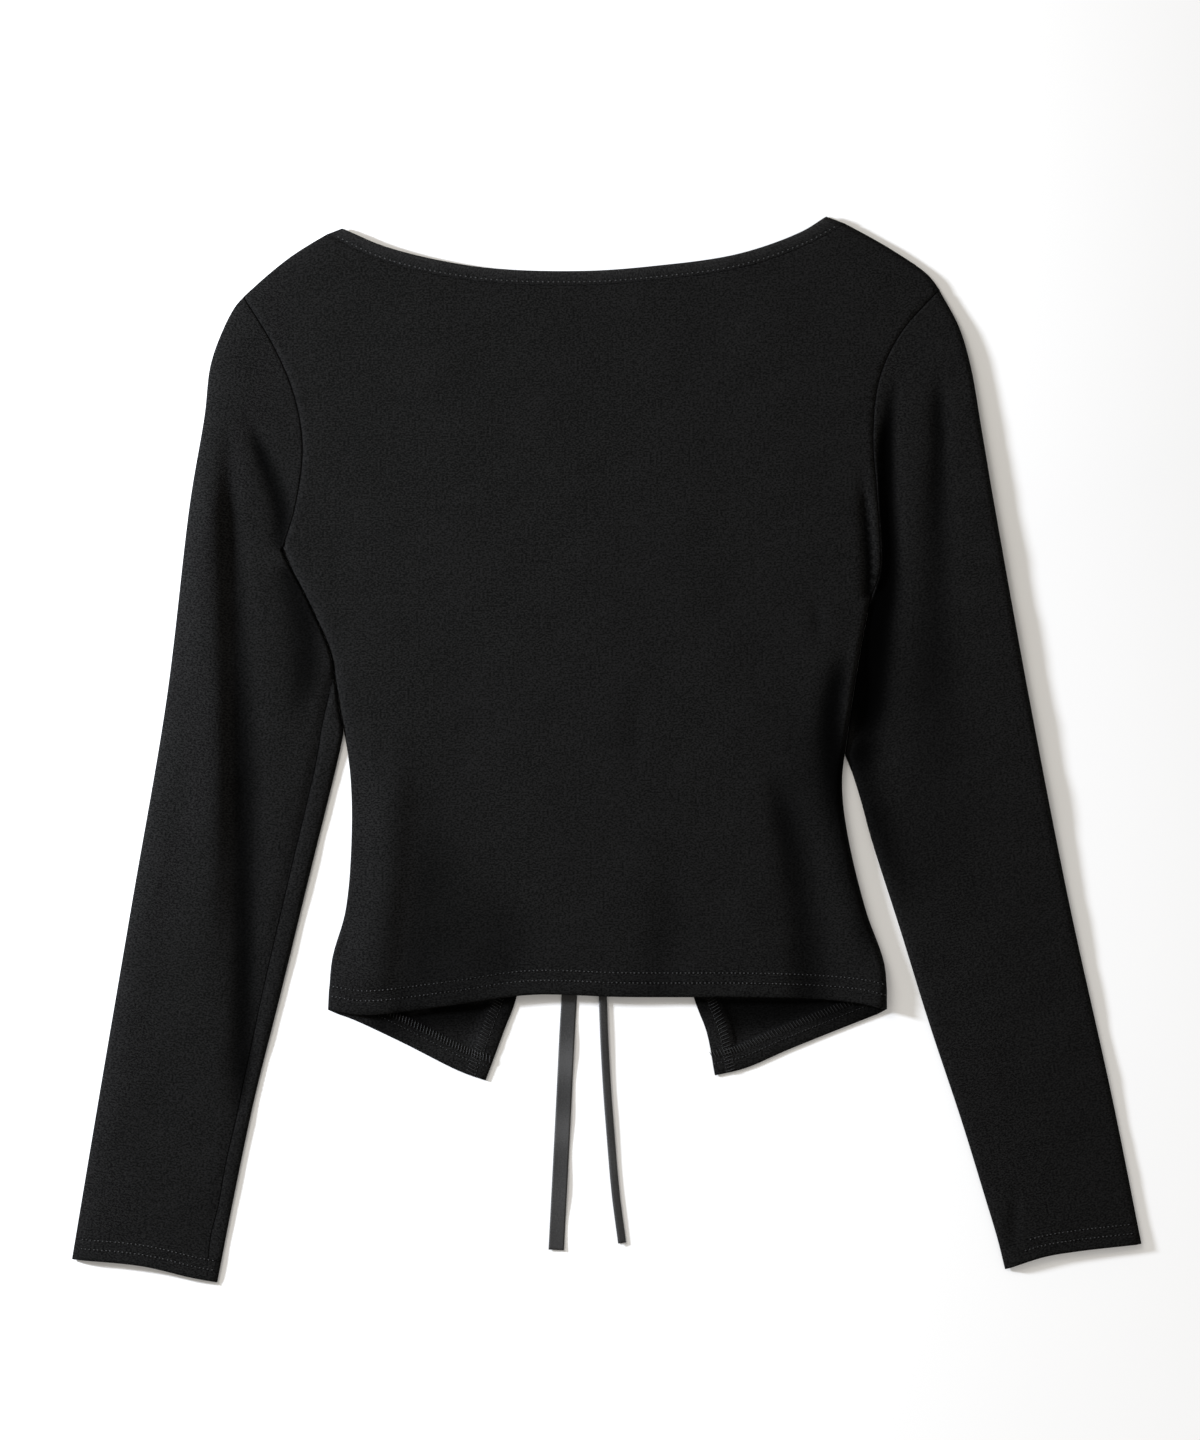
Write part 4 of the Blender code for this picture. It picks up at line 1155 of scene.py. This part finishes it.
def neck_binding_parts():
    """The neck binding's edge and seam, and the heights of its lower and upper face."""
    edge = stepped(curve(metres(NECK_EDGE)), steps=NECK_STEPS)
    seam = stepped(moved(NECK, 0.00005), steps=NECK_STEPS)
    share = np.linspace(0, 1, NECK_STEPS + 1)
    end = 1 - smooth_step(np.minimum(share, 1 - share) * 14)
    top = back_surface(seam)[0] + BINDING_PROUD - 0.0002 * end
    base = np.maximum(top - BINDING_THICKNESS + 0.0004 * end, LOWEST_BACK)
    return edge, seam, base, top


def make_bindings(jersey):
    made = {"neck": band("neck_binding", *neck_binding_parts(), jersey)}
    share = np.linspace(0, 1, FRONT_NECK_STEPS + 1)
    top = FRONT_BINDING_THICKNESS - 0.0009 * ramp(share, 0.86, 0.06)
    for side, shape in CURVES.items():
        seam = stepped(moved(shape["front_neck"], -OUT[side] * 0.0002), steps=FRONT_NECK_STEPS)
        edge = stepped(shape["front_neck_edge"], steps=FRONT_NECK_STEPS)
        made[side] = band(f"front_binding_{side}", edge, seam, 0 * top, top, jersey)
    return made


# ---------------------------------------------------------------- stitches


def laid(flat, surface, rise):
    """Paths of points at a rise above a surface."""
    height = surface(flat.reshape(-1, 2)).reshape(flat.shape[:-1])
    return list(np.concatenate([flat, (height + rise)[..., None]], axis=-1))


def thread_row(line, surface, pitch, length, radius, jitter=0.10):
    """Short stitches along a line on a surface, each sinking in at its two ends."""
    run = run_of(line)
    centres = np.arange(pitch / 2, run[-1] - length / 2, pitch)
    centres = centres + pitch * jitter * np.sin(np.arange(len(centres)) * 2.399 + 0.7)
    flat = read(line, run, centres[:, None] + length * np.linspace(-0.5, 0.5, 6)[None])
    return laid(flat, surface, np.array([-1.3, 0.1, 0.75, 0.75, 0.1, -1.3]) * radius + 0.00005)


def zigzag(line, surface, distances, pitch, lean):
    """The threads on the wrong side of a hem's two rows: slanting strokes from row to row."""
    total = length_of(line)
    count = int(total / pitch)
    begin = (np.arange(count) + 0.5) / count
    ends = []
    for distance, share in zip(distances, (begin, np.clip(begin + lean / total, 0, 1))):
        row = moved(line, distance)
        ends.append(read(row, np.linspace(0, 1, len(row)), share)[:, None])
    mix = np.linspace(0, 1, 6)[:, None]
    flat = ends[0] * (1 - mix) + ends[1] * mix
    return laid(flat, surface, 0.00015 + 0.00012 * np.sin(np.pi * mix[:, 0]))


def darker_in_waves(points):
    """How much darker a row of stitches is in places, in waves along x, as a depth."""
    x = points[:, 0] * 2 * np.pi
    return 0.0017 * np.clip(np.sin(x / 0.043 + 2 * np.sin(x / 0.101 + 1.3)), 0, 1)


def stitches(name, paths, radius, sides, thread, flat, painted_shade_of=None):
    """A piece of threads, with painted shade as dark as the cloth's in a fold of the depth that
    painted_shade_of gives.
    """
    thing = tubes(name, paths, radius, sides, thread, flat)
    if painted_shade_of:
        add_mark(thing.data, "deep", painted_shade_of(spots_of(thing)) * 1000)
    return placed(thing, "black_jersey")


def make_stitches(thread, dark_thread):
    made = {}
    paths = []
    body = np.vstack([LEFT["side"], RIGHT["side"][::-1]])
    for distance in BACK_ROWS:
        line = stepped(moved(HEM, distance))
        line = line[inside(line, body)]
        surface = lambda p: back_surface(p)[0]
        paths += thread_row(line, surface, *STITCHES["hem"], jitter=0.08)
    # The hem's threads get their waves of darkness and the painted shade of the back's folds.
    in_folds = lambda p: darker_in_waves(p) + np.maximum(back_depth(p, "shade"), 0)
    made["back"] = stitches("hem_stitches", paths, 0.00030, 6, thread, 0.7, in_folds)

    for side, (outer, inner) in SLEEVE_LINES.items():
        surface = lambda p: sleeve_surface(p, side)[0]
        paths = []
        for distance in CUFF_ROWS:
            line = stepped(moved(CURVES[side]["cuff"], OUT[side] * distance))
            line = line[inside(line, np.vstack([outer, inner[::-1]]))][3:-3]
            if side == "right":
                line = line[line[:, 0] > 0.2330 + distance]
            paths += thread_row(line, surface, *STITCHES["cuff"], jitter=0.08)
        name = f"cuff_stitches_{side}"
        made[f"sleeve_{side}"] = stitches(name, paths, 0.00028, 6, thread, 0.7, darker_in_waves)

    edge, seam, base, top = neck_binding_parts()
    width = np.linalg.norm(edge - seam, axis=1)[:, None]
    line = seam + (edge - seam) / width * NECK_ROW
    upper = fullness(1 - NECK_ROW / width[:, 0])[0]
    z = (top + base) / 2 + (top - base) / 2 * upper - NECK_DIMPLE
    surface = lambda p: z[nearest(p, line)[1]]
    paths = thread_row(stepped(line)[4:-4], surface, *STITCHES["neck"], jitter=0.06)
    made["neck"] = stitches("neck_stitches", paths, 0.00028, 6, thread, 0.75)

    for side, shape in CURVES.items():
        out = OUT[side]
        surface = lambda p: front_surface(p, side)
        edge = stepped(shape["front_edge"])
        kinds = (
            ("front_hem", stepped(shape["front_hem"]), FRONT_ROWS[side], -out),
            ("front_edge", edge[: int(len(edge) * 0.9)], (EDGE_STROKES[0], *EDGE_STROKES), 1),
        )
        paths = []
        for kind, line, distances, lean in kinds:
            row, *strokes = (out * distance for distance in distances)
            paths += zigzag(line, surface, strokes, STROKE_PITCH[kind], lean * STROKE_LEAN[kind])
            paths += thread_row(stepped(moved(line, row)), surface, *STITCHES[kind])
        shade = lambda p: hem_shade(p, side)
        name = f"front_stitches_{side}"
        made[f"front_{side}"] = stitches(name, paths, 0.00021, 5, dark_thread, 0.8, shade)
    return made


# ---------------------------------------------------------------- ribbons and knot

PAINTED_SHEEN = {  # painted sheen, where a ribbon is made lighter as if it caught the light: (y, half its length, how strongly)
    "left": (
        (-0.1810, 0.0115, 0.95), (-0.2208, 0.0110, 0.90), (-0.2650, 0.0170, 0.28),
        (-0.1550, 0.30, 0.05),
    ),
    "right": ((-0.1580, 0.0110, 0.20), (-0.2385, 0.0090, 0.22), (-0.2020, 0.055, 0.22)),
}
FOLDED_LEAF = (  # the right tail's middle line across, in tenths of a millimetre: (across, height)
    (23, 0), (10, 0), (-4, 0), (-15, 1), (-21, 4), (-22, 8), (-17, 12), (-5, 15), (8, 18), (24, 21),
)


def make_ribbon(side, section_of, satin):
    """A ribbon along its route. section_of gives the (across, height) of its middle line for
    each point of the route and each column."""
    path = stepped(curve(metres(RIBBON_ROUTES[side])), 0.0015)
    run = run_of(path)
    section = np.stack(section_of(run / run[-1], run), axis=-1)
    along = np.gradient(section, axis=1)
    along /= np.linalg.norm(along, axis=-1)[..., None] + 1e-12
    normal = np.stack([-along[..., 1], along[..., 0]], axis=-1)
    sides = []
    for sign in (1, -1):
        across, height = np.moveaxis(section + sign * normal * RIBBON / 2, -1, 0)
        flat = path[:, None] - left_normals(path)[:, None] * across[..., None]
        sides.append(np.concatenate([flat, np.maximum(height, 0)[..., None]], axis=-1))
    width = np.zeros(section.shape[:2])
    width[:, 1:] = np.cumsum(np.hypot(*np.moveaxis(np.diff(section, axis=1), -1, 0)), axis=1)
    uv = np.stack([width - width[:, -1:] / 2, np.broadcast_to(run[:, None], width.shape)], axis=-1)
    thing = strip(f"ribbon_{side}_satin", sides, uv, {}, satin)
    y = spots_of(thing)[:, 1]
    # Painted sheen along the ribbon, which its material reads as the ripple mark.
    ripples = [high * bell(y - at, half) for at, half, high in PAINTED_SHEEN[side]]
    add_mark(thing.data, "ripple", sum(ripples))
    return placed(thing, "charcoal_satin", f"ribbon_{side}"), path


def left_section(share, run):
    """The left tail: flat, with gentle ripples along it and its edges barely lifted."""
    across = np.linspace(-0.5, 0.5, 9)[None] * RIBBON_WIDTH + 0 * share[:, None]
    visible = ramp(share, 0.55, 0.1)[:, None]
    from_middle, turns = across / 0.0045, run[:, None] * 2 * np.pi
    ripple = 0.00045 * (0.5 + 0.5 * np.sin(turns / 0.042 + 0.6))
    tilt = 0.00012 * np.sin(turns / 0.066 + 1.9) * from_middle
    cup = 0.00010 * from_middle**2
    return across, RIBBON / 2 + visible * np.maximum(ripple + tilt + cup, 0)


def right_section(share, run):
    """The right tail: folded along its middle, its upper leaf standing off to the right."""
    lift = (1 - 0.42 * ramp(share, 0.45, 0.55))[:, None]
    wobble = 1 + 0.08 * np.sin(run * 2 * np.pi / 0.05)[:, None]
    across, height = metres(FOLDED_LEAF).T[:, None]
    return across + 0 * lift, RIBBON / 2 + height * lift * wobble


def make_knot(satin):
    """A small pressed knot of the same ribbon, under the back."""
    centre, (width, length, height) = (-0.0062, 0.0520), (0.0128, 0.0136, 0.0030)
    power = 0.45  # the lower, the squarer its section
    turn = np.linspace(0, 2 * np.pi, 48, endpoint=False)
    x, z = (np.sign(wave) * np.abs(wave) ** power for wave in (np.cos(turn), np.sin(turn)))
    rings = []
    for b in np.linspace(-0.499, 0.499, 25):
        end = (1 - abs(2 * b) ** 5) ** 0.25 * (1 - 0.10 * np.cos(2 * np.pi * b) ** 2)
        ridge = 1 - 0.05 * np.cos(turn * 6) * end
        across = centre[0] + width / 2 * x * ridge * (0.80 + 0.20 * end)
        up = height / 2 + height / 2 * z * ridge * end
        rings.append(np.stack([across, centre[1] + length * b + 0 * turn, up], axis=1))
    points = np.vstack(rings)
    points[:, 2] = np.clip(points[:, 2], 0, None)
    faces = ring_faces(len(rings), len(turn))
    thing = cloth_object("ribbon_knot_satin", points, faces, points[:, :2] - centre, {}, satin)
    return placed(thing, "charcoal_satin", "ribbon_knot")


# ---------------------------------------------------------------- camera and light

SENSOR = 24
# Lights: name, place, size, power in watts, colour.
LIGHTS = (
    ("key", (-1.310, 0.320, 0.495), 0.20, 43.5, (0.856, 0.910, 1.0)),
    ("fill", (-1.050, 0.950, 1.200), 0.90, 13.0, (1.0, 0.957, 0.890)),
)
AROUND_COLOUR, AROUND_STRENGTH = (1.0, 0.957, 0.890), 0.40
FLOOR_HALF, FLOOR_LEVEL = 6.0, -0.0003


def make_camera():
    """Straight down, as the photo was taken."""
    data = bpy.data.cameras.new("camera")
    data.sensor_fit, data.sensor_height = "VERTICAL", SENSOR
    data.lens = SENSOR * CAMERA_DISTANCE / (IMAGE[1] * PIXEL)
    data.clip_end = 20
    camera = add_object("camera", data)
    camera.location = (
        (IMAGE[0] / 2 - ORIGIN_PIXEL[0]) * PIXEL,
        (ORIGIN_PIXEL[1] - IMAGE[1] / 2) * PIXEL,
        CAMERA_DISTANCE + 0.003,
    )
    bpy.context.scene.camera = camera


def make_light():
    for name, place, size, power, colour in LIGHTS:
        data = bpy.data.lights.new(name, "AREA")
        data.shape, data.size, data.energy, data.color = "DISK", size, power, colour
        light = add_object(name, data)
        light.location = place
        light.rotation_euler = (-Vector(place)).to_track_quat("-Z", "Y").to_euler()
    world = bpy.data.worlds.new("around")
    world.use_nodes = True
    background = world.node_tree.nodes["Background"]
    background.inputs["Color"].default_value = (*AROUND_COLOUR, 1)
    background.inputs["Strength"].default_value = AROUND_STRENGTH
    bpy.context.scene.world = world


def make_floor():
    """A white surface with painted light: a little glow of its own, rising towards +x and -y,
    where the lights fall off.
    """
    nodes = Nodes("white_surface")
    nodes.paint((0.97, 0.97, 0.97, 1))
    x, y = nodes.parts(nodes.node("TexCoord").outputs["Object"])
    far = nodes.plus(nodes.times(x, 0.5), nodes.times(y, -1.0))
    nodes.shader.inputs["Emission Color"].default_value = (1, 1, 1, 1)
    # Painted light: the floor's own glow.
    glow = nodes.clamped(nodes.times(far, 0.25), 0.0, 0.14)
    nodes.set(nodes.shader.inputs["Emission Strength"], glow)
    mesh = bpy.data.meshes.new("surface")
    corners = ((-1, -1), (1, -1), (1, 1), (-1, 1))
    mesh.from_pydata(
        [(x * FLOOR_HALF, y * FLOOR_HALF, FLOOR_LEVEL) for x, y in corners], [], [(0, 1, 2, 3)]
    )
    mesh.materials.append(nodes.finish(1.0, 0.0))
    add_object("surface", mesh)


# ---------------------------------------------------------------- the whole

# Materials' colours, dark and light.
OUTSIDE = (0.0040, 0.0040, 0.0040), (0.0128, 0.0127, 0.0125)
INSIDE = (0.0044, 0.0044, 0.0044), (0.0136, 0.0135, 0.0133)
BINDING = (0.0098, 0.0098, 0.0098), (0.0264, 0.0263, 0.0260)
SATIN = (0.0250, 0.0250, 0.0255), (0.0640, 0.0640, 0.0650)
THREAD, DARK_THREAD = (0.046, 0.046, 0.0465), (0.022, 0.022, 0.0225)


def main():
    bpy.context.scene.view_settings.view_transform = "Standard"
    make_camera()
    outside = jersey_material("black_jersey_outside", *OUTSIDE)
    jerseys = outside, jersey_material("black_jersey_inside", *INSIDE, inside_out=True)
    satin = satin_material("charcoal_satin_ribbon", *SATIN)
    thread = thread_material("black_thread", THREAD)
    dark_thread = thread_material("black_thread_inside", DARK_THREAD)

    ribbons = (
        (*make_ribbon("left", left_section, satin), 0.009, 0.0004),
        (*make_ribbon("right", right_section, satin), 0.0049, 0.0009),
    )
    make_knot(satin)
    back = make_back(jerseys)
    fronts = {side: make_front(side, jerseys) for side in SIDES}
    sleeves = {side: make_sleeve(side, jerseys) for side in SIDES}
    bindings = make_bindings(jersey_material("black_binding", *BINDING))
    sewn = make_stitches(thread, dark_thread)

    make_light()
    make_floor()


main()
